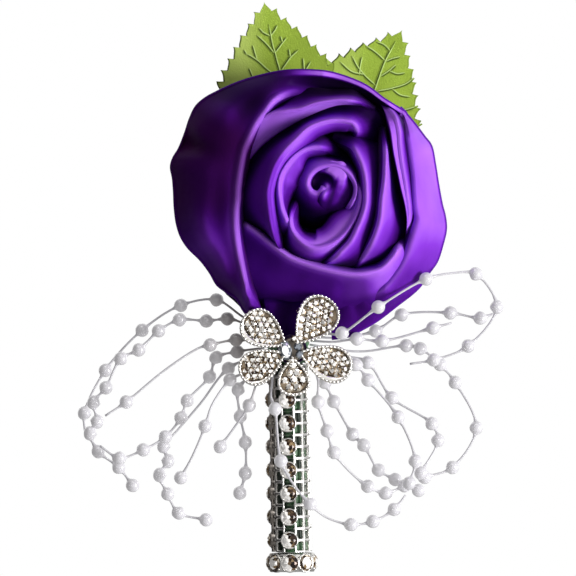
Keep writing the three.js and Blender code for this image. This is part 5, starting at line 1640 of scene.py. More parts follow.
def leaf_outline():
    """Distances from the tip and half widths of a leaf's rows, with the lift of each tooth towards the tip"""
    rows = []
    teeth = round(LEAF_LENGTH / LEAF_PITCH)
    for tooth in range(teeth):
        for step in range(TOOTH_STEPS):
            share = step / TOOTH_STEPS
            along = (tooth + share) / teeth
            half = LEAF_WIDTH / 2 * table_value(LEAF_SHARES, along)
            out = 0
            if tooth > 0 and step >= TOOTH_POINT:
                out = 1 - (step - TOOTH_POINT) / (TOOTH_STEPS - TOOTH_POINT)
            rows.append((along * LEAF_LENGTH, half + out * LEAF_TOOTH, out * TOOTH_LIFT))
    return rows


def leaf_level(leaf, x, z):
    """Depth of a leaf's back at a flat place: cupped to the front at its sides and slightly uneven"""
    turn = math.radians(leaf["degrees"])
    aside = (z - leaf["tip"][1]) * math.cos(turn) - (x - leaf["tip"][0]) * math.sin(turn)
    cup = LEAF_CUP * min(1, (aside / (LEAF_WIDTH / 2)) ** 2)
    spot = Vector((x / LEAF_WAVE_WIDTH, z / LEAF_WAVE_WIDTH, leaf["degrees"]))
    return leaf["back"] - cup - LEAF_WAVE * noise.noise(spot)


def leaf_piece(leaf):
    """Cloth of one leaf, a thin closed sheet"""
    turn = math.radians(leaf["degrees"])
    tip_x, tip_z = leaf["tip"]
    count = LEAF_COLUMNS
    points = []
    edges = []
    for down, half, lift in leaf_outline():
        front = []
        for column in range(count):
            from_edge = min(column, count - 1 - column)
            inset = EDGE_STEPS[from_edge] if from_edge < len(EDGE_STEPS) else 0
            side = half * (1 - 2 * column / (count - 1))
            if from_edge < len(EDGE_STEPS):
                side = math.copysign(max(half - inset, half * (1 - 2 * from_edge / (count - 1))), side)
            place = down - lift * (abs(side) / max(half, THINNEST)) ** 6
            x = tip_x - place * math.cos(turn) - side * math.sin(turn)
            z = tip_z - place * math.sin(turn) + side * math.cos(turn)
            # Painted shade along the leaf's edges, stronger on one side
            dark = 1 if side > 0 else 0.5
            front.append((x, leaf_level(leaf, x, z), z, dark * (from_edge < 2)))
        for x, level, z, edge in front:
            points.append((x, level - LEAF_THICKNESS, z))
            edges.append(edge)
        for x, level, z, edge in reversed(front):
            points.append((x, level, z))
            edges.append(edge)
    rows = len(points) // (count * 2)
    faces = grid_faces(rows, count * 2, True)
    first = list(range(count * 2))
    last = [(rows - 1) * count * 2 + i for i in first]
    for i in range(count - 1):
        j = count * 2 - 1 - i
        faces.append((first[i], first[i + 1], first[j - 1], first[j]))
        faces.append((last[i + 1], last[i], last[j], last[j - 1]))
    piece = new_piece(leaf["name"] + "_cloth", points, faces, LEAF, (leaf["name"],))
    store(piece, "edge", edges)
    # Painted light towards one side of the leaf
    store(piece, "pale", [table_value(leaf["pale"], point[0]) for point in points])
    flip_if_inside_out(piece)
    face_area(piece) / 2


# Across a vein: offset in vein widths, rise of the ridge, share of painted groove shade, share of painted
# highlight
VEIN_SHARES = [(-2.7, 0, 0, 0), (-1.9, -1, 0.8, 0), (-0.6, -0.6, 1, 0), (0.1, 1, 0, 1), (0.9, 0.8, 0, 1),
                (1.6, 0, 0, 0)]


def leaf_veins(leaf):
    """Pressed veins: a raised ridge with a painted highlight beside a flat strip of painted shade, tapering
    to both ends
    """
    points = []
    faces = []
    groove_shades = []
    glints = []
    for line in leaf["veins"]:
        path = smooth_path([picture_place(column, row, leaf["back"]) for column, row in line], VEIN_STEP)
        across = sideways([Vector((spot.x, 0, spot.z)) for spot in path], Vector((-1, 0, -1)))
        first = len(points)
        for i, (spot, side) in enumerate(zip(path, across)):
            share = i / (len(path) - 1)
            taper = min(1, 6 * share + 0.25, 4 * (1 - share) + 0.5)
            for aside, rise, groove_shade, glint in VEIN_SHARES:
                x = spot.x + side.x * aside * VEIN_WIDTH * taper
                z = spot.z + side.z * aside * VEIN_WIDTH * taper
                proud = VEIN_PROUD + taper * (VEIN_RIDGE * rise if rise > 0 else 0)
                points.append((x, leaf_level(leaf, x, z) - LEAF_THICKNESS - proud, z))
                groove_shades.append(groove_shade * taper)
                glints.append(glint * taper)
        strip = grid_faces(len(path), len(VEIN_SHARES))
        faces += [tuple(corner + first for corner in face) for face in strip]
    piece = new_piece(leaf["name"] + "_veins", points, faces, LEAF, (leaf["name"],))
    turn_to_front(piece)
    store(piece, "vein", groove_shades)
    store(piece, "glint", glints)
    store(piece, "pale", [table_value(leaf["pale"], point[0]) for point in points])


def flip_if_inside_out(piece):
    """Turns a closed piece's faces outwards"""
    volume = 0
    points = piece.data.vertices
    for polygon in piece.data.polygons:
        corners = [points[i].co for i in polygon.vertices]
        for b, c in zip(corners[1:], corners[2:]):
            volume += corners[0].dot(b.cross(c))
    if volume < 0:
        piece.data.flip_normals()


for leaf in LEAVES:
    leaf_piece(leaf)
    leaf_veins(leaf)


# Stem frame: heights run down from its top, turns are degrees round it with -90 at the front
STEM = Matrix.Translation((STEM_X, STEM_Y, STEM_TOP)) @ Matrix.Rotation(-STEM_LEAN, 4, "Y")
STEM_SIDES = 72
RIBBON_RADIUS = 3.0 * MM
RIBBON_LAP = 0.28 * MM
RIBBON_PHASE_SHARE = 0.85
RIBBON_WRAP = 5.16 * MM
RIBBON_LOW = -52.1 * MM
RIBBON_STEP = 0.4 * MM
BINDING_RADIUS = 4.05 * MM
BINDING_BULGE = 0.6 * MM
BINDING_WRAP = 2.25 * MM
BINDING_TOP = -1.3 * MM
BINDING_LOW = -10.3 * MM
BINDING_STEP = 0.15 * MM
MESH_INNER = 3.65 * MM
MESH_OUTER = 4.35 * MM
MESH_TOP = -10.7 * MM
MESH_ROW = 2.58 * MM
MESH_ROWS = 16
STONE_ROWS = 8
MESH_SIDES = 4
MESH_TURN = -96
MESH_SINK = 0.1 * MM
STRIP_BAR = 0.02 * MM
SIDE_SINKS = (0, 1.6 * MM, 0.3 * MM, 0.4 * MM)
STRIP_SHIFT = 26
STONE_STRIP = 34
WINDOW_STRIP = 28
BAR_SHARE = 0.36
STONE_PITCH = 5.16 * MM
STONE_RADIUS = 1.7 * MM
STONE_SEAT = 4.75 * MM
STONE_HEIGHT = 1.0 * MM
SIDE_STONE_SPIN = 1.9
CUP_RADIUS = 1.98 * MM
CUP_LOW = 3.85 * MM
CUP_HIGH = 5.0 * MM
PRONG_RADIUS = 0.26 * MM
END_TOP = -52.3 * MM
END_LENGTH = 4.2 * MM
END_RADIUS = 4.5 * MM
END_STONES = 8
END_STONE_SPIN = 1.3
END_STONE_RADIUS = 2.0 * MM
END_CUP_SINK = 0.5 * MM
END_CUP_RISE = 0.45 * MM
END_STONE_SEAT = 0.2 * MM
END_FRONT_SEAT = 0.25 * MM
END_SHARES = [(0, 0.001), (0.02, 0.8), (0.08, 0.92), (0.2, 1), (0.85, 1), (0.93, 0.97), (1, 0.9)]


def stem_place(turn, radius, height):
    """Place at a turn, radius and height on the stem"""
    angle = math.radians(turn)
    return STEM @ Vector((radius * math.cos(angle), radius * math.sin(angle), height))


def facing_out(turn):
    """Turn of a shape on the side of the stem: X goes round the stem, Y up it and Z away from it"""
    angle = math.radians(turn)
    aside = (-math.sin(angle), math.cos(angle), 0)
    out = (math.cos(angle), math.sin(angle), 0)
    return STEM.to_3x3() @ Matrix((aside, (0, 0, 1), out)).transposed()


def wound_tube(name, node, low, high, step, radius_at):
    """Closed round body of wound ribbon on the stem, whose radius follows the turn and the height"""
    rows = round((high - low) / step) + 1
    points = []
    for row in range(rows):
        height = low + (high - low) * row / (rows - 1)
        for i in range(STEM_SIDES):
            turn = 360 * i / STEM_SIDES
            points.append(stem_place(turn, radius_at(turn, height), height))
    faces = grid_faces(rows, STEM_SIDES, True)
    faces.append(tuple(range(STEM_SIDES - 1, -1, -1)))
    faces.append(tuple(range((rows - 1) * STEM_SIDES, rows * STEM_SIDES)))
    piece = new_piece(name, points, faces, RIBBON, (node,))
    weld(piece)
    return piece


def ribbon_share(turn, height):
    """How far across its turn of ribbon a place on the stem lies, from lower to upper edge"""
    return (height / RIBBON_WRAP - turn / 360 + RIBBON_PHASE_SHARE) % 1


def ribbon_radius(turn, height):
    """Each turn of ribbon lies with its lower edge over the turn below"""
    share = ribbon_share(turn, height)
    return RIBBON_RADIUS + RIBBON_LAP * smooth_steps(0, 0.06, share) * (1 - 0.8 * share)


def shaded_laps(piece, share_at):
    """Paints shade on the half of each turn that lies under the one above, and on the left of the stem"""
    values = []
    to_stem = STEM.inverted()
    for vertex in piece.data.vertices:
        place = to_stem @ vertex.co
        turn = math.atan2(place.y, place.x)
        share = share_at(math.degrees(turn), place.z)
        # Painted shade on the stem's left
        left = smooth_steps(-0.1, -0.5, math.cos(turn))
        # Painted shade on the half of each turn under the one above
        lap = 0.97 * smooth_steps(0.47, 0.53, share) * (1 - smooth_steps(0.97, 1, share))
        values.append(max(lap, 0.93 * left))
    store(piece, "lap", values)


def binding_radius(turn, height):
    """Each turn of the binding bulges like a cord"""
    share = (height / BINDING_WRAP - turn / 360) % 1
    return BINDING_RADIUS + BINDING_BULGE * math.sqrt(max(0, 1 - (2 * share - 1) ** 2))


wrap = wound_tube("ribbon_wrap", "stem_ribbon", RIBBON_LOW, 0, RIBBON_STEP, ribbon_radius)
shaded_laps(wrap, ribbon_share)
wound_tube("neck_wrap", "neck_binding", BINDING_LOW, BINDING_TOP, BINDING_STEP, binding_radius)


# Plated mesh: rounded window bars in columns, set side by side round the ribbon
FRAME_SHARES = [(0, 1), (0.45, 0.98), (0.75, 0.88), (0.93, 0.6), (1, 0.2)]
FRAME_CORNER = 0.3 * MM
FRAME_POINTS = 5


def frame_outline(half_width, half_height, corner):
    """Rectangle with rounded corners, as points that always come in the same number"""
    points = []
    for quarter, (a, b) in enumerate([(1, 1), (-1, 1), (-1, -1), (1, -1)]):
        for i in range(FRAME_POINTS):
            turn = (quarter + i / (FRAME_POINTS - 1)) * math.pi / 2
            x = a * (half_width - corner) + corner * math.cos(turn)
            y = b * (half_height - corner) + corner * math.sin(turn)
            points.append((x, y))
    return points


def window_frame(name, half_width, half_height, side_bar, cross_bar):
    """Bars round one window, highest where they meet the next frame"""
    points = []
    for share, rise in FRAME_SHARES:
        corner = FRAME_CORNER * share + THINNEST
        outline = frame_outline(half_width - side_bar * share, half_height - cross_bar * share, corner)
        level = MESH_INNER + (MESH_OUTER - MESH_INNER) * rise
        points += [(x, y, level) for x, y in outline]
    count = 4 * FRAME_POINTS
    points += [(x, y, MESH_INNER - MESH_SINK) for x, y, level in points[-count:]]
    faces = [tuple(reversed(face)) for face in grid_faces(len(FRAME_SHARES) + 1, count, True)]
    shape = loose_object(name, points, [], faces)
    if shape.data.polygons[0].normal.z < 0:
        shape.data.flip_normals()
    shade_smooth(shape)
    return shape


def strip_middles():
    """Turns of the stone strips and of the window strips round the stem"""
    stones = []
    windows = []
    for side in range(MESH_SIDES):
        middle = MESH_TURN + side * 360 / MESH_SIDES
        stones.append(middle)
        windows.append(middle + STONE_STRIP / 2 + WINDOW_STRIP / 2)
        windows.append(middle + STONE_STRIP / 2 + WINDOW_STRIP * 1.5)
    return stones, windows


def stem_spots(turns, rows, pitch, sink=0):
    """Spots in columns down the mesh of the stem, each facing out"""
    spots = []
    for turn in turns:
        for row in range(rows):
            height = MESH_TOP - (row + 0.5) * pitch
            spots.append((stem_place(turn, -sink, height), facing_out(turn), (1, 1, 1)))
    return spots


def mesh_frames():
    """Window frames round the stem and long frames for the stones; gives the spots of the stones"""
    stones, windows = strip_middles()
    half_window = MESH_OUTER * math.tan(math.radians(WINDOW_STRIP / 2))
    half_strip = MESH_OUTER * math.tan(math.radians(STONE_STRIP / 2))
    bar = half_window * BAR_SHARE
    shape = window_frame("window_shape", half_window, MESH_ROW / 2, bar, bar)
    spots = stem_spots(windows, MESH_ROWS, MESH_ROW)
    set_on_places("mesh_windows", shape, spots, PLATED, ("mesh_sleeve",))
    drop_shape(shape)
    shape = window_frame("strip_shape", half_strip, STONE_PITCH / 2, bar * 0.8, STRIP_BAR)
    spots = stem_spots(stones, STONE_ROWS, STONE_PITCH)
    set_on_places("mesh_strips", shape, spots, PLATED, ("mesh_sleeve",))
    drop_shape(shape)
    seats = []
    for side, sink in enumerate(SIDE_SINKS):
        turn = stones[side] + (STRIP_SHIFT if side == 1 else 0)
        seats += stem_spots([turn], STONE_ROWS, STONE_PITCH, sink)
    return seats


CUP_SHARES = [(1, 0), (1, 0.72), (0.97, 0.9), (0.92, 1), (0.87, 0.98), (0.84, 0.85), (0.84, 0)]
CUP_SIDES = 28
PRONGS = 4


def cup_shape(name, radius, low, high):
    """Round setting with a rolled lip and four prongs over the edge of its stone"""
    points = []
    for wide, rise in CUP_SHARES:
        points += ring_points(CUP_SIDES, radius * wide, low + (high - low) * rise)
    faces = grid_faces(len(CUP_SHARES), CUP_SIDES, True)
    for spot in ring_points(PRONGS, radius * 0.9, high, 0.5):
        points, faces = with_bead(points, faces, Vector(spot), PRONG_RADIUS)
    shape = loose_object(name, points, [], faces)
    weld(shape, merge=False)
    shade_smooth(shape)
    return shape


BEAD_SIDES = 6
BEAD_RINGS = 4


def with_bead(points, faces, middle, radius):
    """Adds a small round bead to lists of points and faces"""
    first = len(points)
    for ring in range(BEAD_RINGS + 1):
        lift = math.pi * ring / BEAD_RINGS
        around = ring_points(BEAD_SIDES, radius * math.sin(lift) + POLE_RADIUS, radius * math.cos(lift))
        points += [tuple(middle + Vector(spot)) for spot in around]
    rows = grid_faces(BEAD_RINGS + 1, BEAD_SIDES, True)
    return points, faces + [tuple(corner + first for corner in face) for face in rows]


def spun(spots, step):
    """Spots with each shape turned a step further about its own axis than the one before"""
    return [(place, turn @ Matrix.Rotation(i * step, 3, "Z"), scale)
            for i, (place, turn, scale) in enumerate(spots)]


def stem_cups(strip_spots):
    """Settings on the four stone strips, and the stones on the three that don't face the front"""
    cup = cup_shape("cup_shape", CUP_RADIUS, CUP_LOW, CUP_HIGH)
    set_on_places("stone_cups", cup, strip_spots, PLATED, ("mesh_sleeve",))
    drop_shape(cup)
    stone = stone_object("side_shape", sides=10, seed=5, radius=STONE_RADIUS, height=STONE_HEIGHT)
    lift_shape(stone, STONE_SEAT)
    spots = spun(strip_spots[STONE_ROWS:], SIDE_STONE_SPIN)
    # Painted shade: the stones at the stem's left take the shaded finish
    set_on_places("left_stones", stone, spots[:STONE_ROWS], SHADED_STONE, ("mesh_sleeve",))
    set_on_places("side_stones", stone, spots[STONE_ROWS:], STONE, ("mesh_sleeve",))
    drop_shape(stone)


def lift_shape(shape, height):
    """Moves the points of a shape up its Z axis"""
    for vertex in shape.data.vertices:
        vertex.co.z += height


# Front stones: foil-backed cuts with painted reflections, bright towards the left and dark at the right
FRONT_RING_SHARES = [(0.22, 1, 0), (0.66, 0.82, 0.5), (0.9, 0.45, 0), (1, 0.16, 0.5), (1, 0.05, 0),
                     (0.4, -0.2, 0)]
FRONT_SIDES = 9
# Tones of the painted reflections on the dark facets of the front stones
SHADE_SHARES = (0.0, 0.06, 0.3, 0.02, 0.12, 0.2)


def front_stone(name, turn_seed, radius, height_on_stem, seat, rise):
    """Stone at the front of the stem, with painted reflections: bright facets leaning left, dark ones at the
    right
    """
    points = []
    turn = facing_out(MESH_TURN)
    middle = stem_place(MESH_TURN, 0, height_on_stem)
    for wide, level, twist in FRONT_RING_SHARES:
        ring = ring_points(FRONT_SIDES, radius * wide, seat + rise * level, twist + turn_seed)
        points += [middle + turn @ Vector(spot) for spot in ring]
    faces = facet_faces(FRONT_RING_SHARES, FRONT_SIDES)
    piece = new_piece(name + "_cut", points, faces, STONE, (name,), smooth=False)
    chance = random.Random(turn_seed)
    tones = []
    crown = middle + turn @ Vector((0, 0, seat))
    for polygon in piece.data.polygons:
        offset = (polygon.center - crown) / radius
        # Painted reflection: facets towards the left are bright
        bright = -offset.x - 0.3 * offset.z > 0.06
        tones.append(chance.choice((0.9, 1, 1) if bright else SHADE_SHARES))
    store(piece, "cut", tones, "FACE")


def end_cap():
    """Plated cap at the foot of the stem; its ring of larger stones is set by end_stones"""
    low = END_TOP - END_LENGTH
    points = []
    for rise, wide in END_SHARES:
        for i in range(STEM_SIDES):
            turn = 360 * i / STEM_SIDES
            points.append(stem_place(turn, END_RADIUS * wide, low + END_LENGTH * rise))
    faces = grid_faces(len(END_SHARES), STEM_SIDES, True)
    faces.append(tuple(range((len(END_SHARES) - 1) * STEM_SIDES, len(END_SHARES) * STEM_SIDES)))
    piece = new_piece("foot_cap", points, faces, PLATED, ("end_cap",))
    weld(piece)


def end_stones():
    """Settings and stones round the cap"""
    middle = END_TOP - END_LENGTH / 2
    turns = [MESH_TURN + 360 * i / END_STONES for i in range(END_STONES)]
    spots = [(stem_place(turn, 0, middle), facing_out(turn), (1, 1, 1)) for turn in turns]
    levels = (END_RADIUS - END_CUP_SINK, END_RADIUS + END_CUP_RISE)
    cup = cup_shape("end_cup_shape", END_STONE_RADIUS * 1.06, *levels)
    set_on_places("foot_cups", cup, spots, PLATED, ("end_cap",))
    drop_shape(cup)
    stone = stone_object("end_shape", sides=9, seed=11, radius=END_STONE_RADIUS * 0.88, height=STONE_HEIGHT)
    lift_shape(stone, END_RADIUS + END_STONE_SEAT)
    set_on_places("foot_stones", stone, spun(spots, END_STONE_SPIN)[1:], STONE, ("end_cap",))
    drop_shape(stone)
    seat = END_RADIUS + END_FRONT_SEAT
    front_stone("end_stone", 20, END_STONE_RADIUS * 0.93, middle, seat, STONE_HEIGHT * 1.05)


stem_cups(mesh_frames())
for row in range(STONE_ROWS):
    stone_height = MESH_TOP - (row + 0.5) * STONE_PITCH
    front_stone(f"front_stone_{row + 1}", row + 1, STONE_RADIUS, stone_height, STONE_SEAT, STONE_HEIGHT)
end_cap()
end_stones()


def paint_part(node, finish):
    """Gives a part that keeps its own mesh a finish"""
    part = bpy.data.objects[node]
    for slot in part.material_slots:
        slot.link = "OBJECT"
        slot.material = finish


paint_part("stem_core", ROD)
for node in ("pin_bar", "hinge_rivet", "pin_needle", "catch_roller"):
    paint_part(node, STEEL)


# Ornament: five drop-shaped petals with milled rims and beds of small crystals, and stones at the centre
ORNAMENT_X = -3.5 * MM
ORNAMENT_Z = -36.2 * MM
ORNAMENT_BACK = -14.9 * MM
RIM_HEIGHT = 2.0 * MM
RIM_WIDTH = 0.85 * MM
RIM_FROM = 1.5 * MM
BED_FROM = 2.6 * MM
BED_LEVEL = 1.15 * MM
PLATE_LEVEL = 0.8 * MM
BAND_WIDTH = 1.15 * MM
MILL_RADIUS = 0.36 * MM
MILL_PITCH = 0.86 * MM
MILL_INSET = 0.3 * MM
CRYSTAL_RADIUS = 0.82 * MM
CRYSTAL_HEIGHT = 0.55 * MM
CRYSTAL_PITCH = 1.36 * MM
CRYSTAL_MARGIN = 0.08 * MM
ROW_GAP = 1.5 * MM
ROW_STONE_SHARE = 1.3
BED_START = 0.35 * MM
LARGE_BED_START = 0.85 * MM
LARGE_PITCH_SHARE = 1.35
LARGE_STONE_SHARE = 1.38
SEAT_SPREAD = 0.14 * MM
BED_SEED = 40
BED_COLUMNS = 5
CRYSTAL_SIDES = 6
CRYSTAL_TILT = 0.42
BED_BEAD_RADIUS = 0.2 * MM
PRONG_MARGIN = 0.1 * MM
FACING_FRONT = Matrix(((1, 0, 0), (0, 0, 1), (0, -1, 0))).transposed()
ROW_STONES = [(301.6, 311.5), (300.8, 319), (300, 326.3), (299.6, 333)]
PAD_RADIUS = 3.3 * MM
PAD_BACK = -12.95 * MM
DROP_STEPS = 88
DROP_WIDEST_SHARE = 0.77
RIM_SHARES = [(0, 0), (0, 0.7), (0.1, 0.88), (0.32, 1), (0.6, 0.97), (0.84, 0.8), (0.97, 0.55), (1, 0.3)]
ORNAMENT_PETALS = [
    {"name": "upper_right", "degrees": 52.5, "length": 14.08 * MM, "width": 9.29 * MM,
     "band": 1, "band_share": 0.5},
    {"name": "upper_left", "degrees": 146, "length": 12.93 * MM, "width": 8.43 * MM,
     "band": 1, "band_share": 1.2},
    {"name": "lower_left", "degrees": 207, "length": 12.8 * MM, "width": 7.74 * MM,
     "band": 1, "band_share": 0.7},
    {"name": "bottom", "degrees": 273, "length": 10.24 * MM, "width": 7.22 * MM,
     "band": 1, "band_share": 0},
    {"name": "right", "degrees": -20, "length": 13.82 * MM, "width": 8.26 * MM,
     "band": -1, "band_share": 1.3},
]


def drop_point(petal, start, inset, share, band=0):
    """Place on a drop outline, as distances along the petal and beside its middle line"""
    turn = math.tau * share
    end = petal["length"] - inset
    half = petal["width"] / 2 - inset
    along = start + (end - start) * (1 - math.cos(turn)) / 2
    beside = -half * math.sin(turn) * math.sin(turn / 2) / DROP_WIDEST_SHARE
    if band and beside * petal["band"] > 0:
        beside -= petal["band"] * band * petal["band_share"] * math.sin(turn / 2) ** 2 * abs(math.sin(turn))
    return along, beside


def ornament_place(petal, along, beside, level):
    """Place along and beside a petal's middle line, at a level above the ornament's back"""
    turn = math.radians(petal["degrees"])
    x = ORNAMENT_X + along * math.cos(turn) - beside * math.sin(turn)
    z = ORNAMENT_Z + along * math.sin(turn) + beside * math.cos(turn)
    return Vector((x, ORNAMENT_BACK - level, z))


def drop_outline(petal, start, inset, level, band=0):
    """Places round a drop outline of a petal at one level"""
    places = []
    for i in range(DROP_STEPS):
        along, beside = drop_point(petal, start, inset, i / DROP_STEPS, band)
        places.append(ornament_place(petal, along, beside, level))
    return places


def petal_rim(petal):
    """Closed rim of a petal, wider and sloping inwards along its band side, and the bed inside it"""
    points = []
    for inset_share, rise in RIM_SHARES:
        start = RIM_FROM + (BED_FROM - RIM_FROM) * inset_share
        band = BAND_WIDTH * inset_share ** 2
        points += drop_outline(petal, start, RIM_WIDTH * inset_share, RIM_HEIGHT * rise, band)
    points += drop_outline(petal, RIM_FROM, 0, 0)
    rows = len(RIM_SHARES)
    faces = grid_faces(rows, DROP_STEPS, True)
    faces.append(tuple((rows - 1) * DROP_STEPS + i for i in range(DROP_STEPS)))
    faces.append(tuple(reversed([rows * DROP_STEPS + i for i in range(DROP_STEPS)])))
    rim = new_piece(petal["name"] + "_rim", points, faces, SILVER, ("jewel_setting",))
    weld(rim)
    # Bed under the crystals, in metal darkened with painted shade
    floor = drop_outline(petal, BED_FROM, RIM_WIDTH, PLATE_LEVEL * 1.1 + RIM_HEIGHT * 0.02, BAND_WIDTH)
    faces = [tuple(range(DROP_STEPS))]
    bed = new_piece(petal["name"] + "_bed", floor, faces, SHADED_BED_METAL, ("jewel_setting",))
    turn_to_front(bed)


def milled_edges():
    """Beads along the rims"""
    loops = []
    for petal in ORNAMENT_PETALS:
        line = drop_outline(petal, RIM_FROM + MILL_INSET, MILL_INSET, RIM_HEIGHT * 0.95)
        loops.append((line, True))
    beads_along("milled_beads", loops, MILL_PITCH, MILL_RADIUS, SILVER, ("jewel_setting",))


def inside_drop(petal, along, beside, margin):
    """True where a crystal of a bed fits inside the rim"""
    start = BED_FROM
    end = petal["length"] - RIM_WIDTH
    share = (along - start) / (end - start)
    if not 0.04 < share < 0.965:
        return False
    turn = math.acos(1 - 2 * share)
    half = (petal["width"] / 2 - RIM_WIDTH) * math.sin(turn) * math.sin(turn / 2) / DROP_WIDEST_SHARE
    inner = half - margin
    if beside * petal["band"] > 0:
        inner -= 0.5 * BAND_WIDTH * petal["band_share"] * math.sin(turn / 2) ** 2 * math.sin(turn)
    return abs(beside) < inner


def row_places(petal):
    """Places of the larger stones in a row along the side of the upper right petal"""
    if petal["name"] != "upper_right":
        return []
    return [picture_place(column, row, ORNAMENT_BACK - PLATE_LEVEL) for column, row in ROW_STONES]


def clear_of_row(petal, along, beside):
    """True where a crystal keeps clear of the row of larger stones"""
    spot = ornament_place(petal, along, beside, PLATE_LEVEL)
    return all(math.hypot(spot.x - place.x, spot.z - place.z) > ROW_GAP for place in row_places(petal))


def bed_spots(petal, chance, large):
    """Spots of a bed's stones in staggered rows, and of the small prong beads between them"""
    pitch = CRYSTAL_PITCH * (LARGE_PITCH_SHARE if large else 1)
    size = LARGE_STONE_SHARE if large else 1
    spots = []
    beads = []
    row = 0
    along = BED_FROM + (LARGE_BED_START if large else BED_START)
    while along < petal["length"] - RIM_WIDTH:
        for i in range(-BED_COLUMNS, BED_COLUMNS + 1):
            beside = (i + 0.5 * (row % 2)) * pitch
            level = PLATE_LEVEL + BED_LEVEL * 0.35 + chance.uniform(0, SEAT_SPREAD)
            if inside_drop(petal, along, beside, CRYSTAL_MARGIN) and clear_of_row(petal, along, beside):
                spin = FACING_FRONT @ Matrix.Rotation(chance.uniform(0, math.tau), 3, "Z")
                wide = size * chance.uniform(0.86, 1.06)
                spots.append((ornament_place(petal, along, beside, level), spin, (wide, wide, size)))
                for k in range(2):
                    ahead = along + pitch * (0.5 - k) * 0.62
                    near = ornament_place(petal, ahead, beside + pitch * 0.5, level)
                    beads.append((near - Vector((0, CRYSTAL_HEIGHT * 0.55, 0)), FACING_FRONT, (1, 1, 1)))
        along += pitch * 0.87
        row += 1
    return spots, beads


def crystal_bed(petal, seed):
    """Stones of one petal with small prong beads between them"""
    node = "crystal_bed_" + petal["name"]
    spots, beads = bed_spots(petal, random.Random(seed), petal["name"] == "bottom")
    for place in row_places(petal):
        seat = Vector((place.x, ORNAMENT_BACK - PLATE_LEVEL - BED_LEVEL * 0.4, place.z))
        spots.append((seat, FACING_FRONT, (ROW_STONE_SHARE, ROW_STONE_SHARE, 1)))
    stone = stone_object("crystal_shape", CRYSTAL_SIDES, seed, CRYSTAL_RADIUS, CRYSTAL_HEIGHT)
    name = petal["name"] + "_crystals"
    set_on_places(name, stone, spots, STONE, (node,), tilt=CRYSTAL_TILT, seed=seed)
    drop_shape(stone)
    points, faces = with_bead([], [], Vector((0, 0, 0)), BED_BEAD_RADIUS)
    bead = loose_object("prong_shape", points, [], faces)
    fitting = [spot for spot in beads if spot_inside(petal, spot[0])]
    set_on_places(petal["name"] + "_prongs", bead, fitting, SILVER, (node,))
    drop_shape(bead)


def spot_inside(petal, place):
    """True where a prong bead fits inside the rim"""
    turn = math.radians(petal["degrees"])
    x = place.x - ORNAMENT_X
    z = place.z - ORNAMENT_Z
    along = x * math.cos(turn) + z * math.sin(turn)
    beside = z * math.cos(turn) - x * math.sin(turn)
    return inside_drop(petal, along, beside, PRONG_MARGIN)


HUB_RADIUS = 2.7 * MM
HUB_SHARES = [(1, 0), (1, 0.55), (0.94, 0.72), (0.8, 0.88), (0.55, 0.97), (0.3, 1), (0.001, 1)]
HUB_HEIGHT = 1.55 * MM
HUB_SIDES = 40


def hub_and_pad():
    """Round hub of the ornament and the felt pad behind it"""
    points = []
    for wide, rise in HUB_SHARES:
        for x, z, level in ring_points(HUB_SIDES, HUB_RADIUS * wide, HUB_HEIGHT * rise):
            points.append((ORNAMENT_X + x, ORNAMENT_BACK - level, ORNAMENT_Z + z))
    faces = grid_faces(len(HUB_SHARES), HUB_SIDES, True) + [tuple(range(HUB_SIDES))]
    # Hub in metal darkened with painted shade
    hub = new_piece("ornament_hub", points, faces, SHADED_HUB_METAL, ("jewel_setting",))
    weld(hub)
    felt_disc("felt_pad", "ornament_pad", (ORNAMENT_X, ORNAMENT_Z), PAD_RADIUS, PAD_BACK, ORNAMENT_BACK)


FELT_STEPS = 5
FELT_RADIUS = 17 * MM
FELT_BACK = -0.8 * MM
FELT_FRONT = -2.0 * MM


def felt_disc(name, node, middle, radius, back, front):
    """Cut felt disc with softly rounded edges"""
    x, z = middle
    soft = abs(front - back) * 0.35
    rings = [(POLE_RADIUS, back)]
    for i in range(FELT_STEPS + 1):
        turn = math.pi / 2 * i / FELT_STEPS
        rings.append((radius - soft * (1 - math.sin(turn)), back - soft * (1 - math.cos(turn))))
    for i in range(FELT_STEPS + 1):
        turn = math.pi / 2 * i / FELT_STEPS
        rings.append((radius - soft * (1 - math.cos(turn)), front + soft * (1 - math.sin(turn))))
    rings.append((POLE_RADIUS, front))
    points = []
    for wide, depth in rings:
        for i in range(STEM_SIDES):
            turn = math.tau * i / STEM_SIDES
            ripple = 1 + 0.012 * noise.noise(Vector((math.cos(turn) * 3, math.sin(turn) * 3, radius / MM)))
            points.append((x + wide * ripple * math.cos(turn), depth, z + wide * ripple * math.sin(turn)))
    piece = new_piece(name, points, grid_faces(len(rings), STEM_SIDES, True), FELT, (node,))
    weld(piece)


# Centre stones: a tall oval one at the left, small round ones beside it
CENTRE_STONES = [
    ("oval_stone", (285.4, 350.4), (1.5 * MM, 2.15 * MM), 0.18, 12, "white"),
    ("grey_stone_1", (298, 346.5), (0.98 * MM, 0.98 * MM), 0.12, 9, "grey"),
    ("grey_stone_2", (299.5, 354.5), (0.9 * MM, 0.98 * MM), -0.24, 9, "grey"),
    ("warm_stone_1", (294, 338.5), (0.72 * MM, 0.72 * MM), 0.36, 8, "warm"),
    ("warm_stone_2", (300.5, 338), (0.72 * MM, 0.72 * MM), 0.06, 8, "warm"),
    ("warm_stone_3", (292.5, 360), (0.6 * MM, 0.6 * MM), 0.18, 8, "warm"),
]
CENTRE_SEED = 31
CENTRE_SINK = 0.25 * MM
CENTRE_HEIGHT = 1.2 * MM


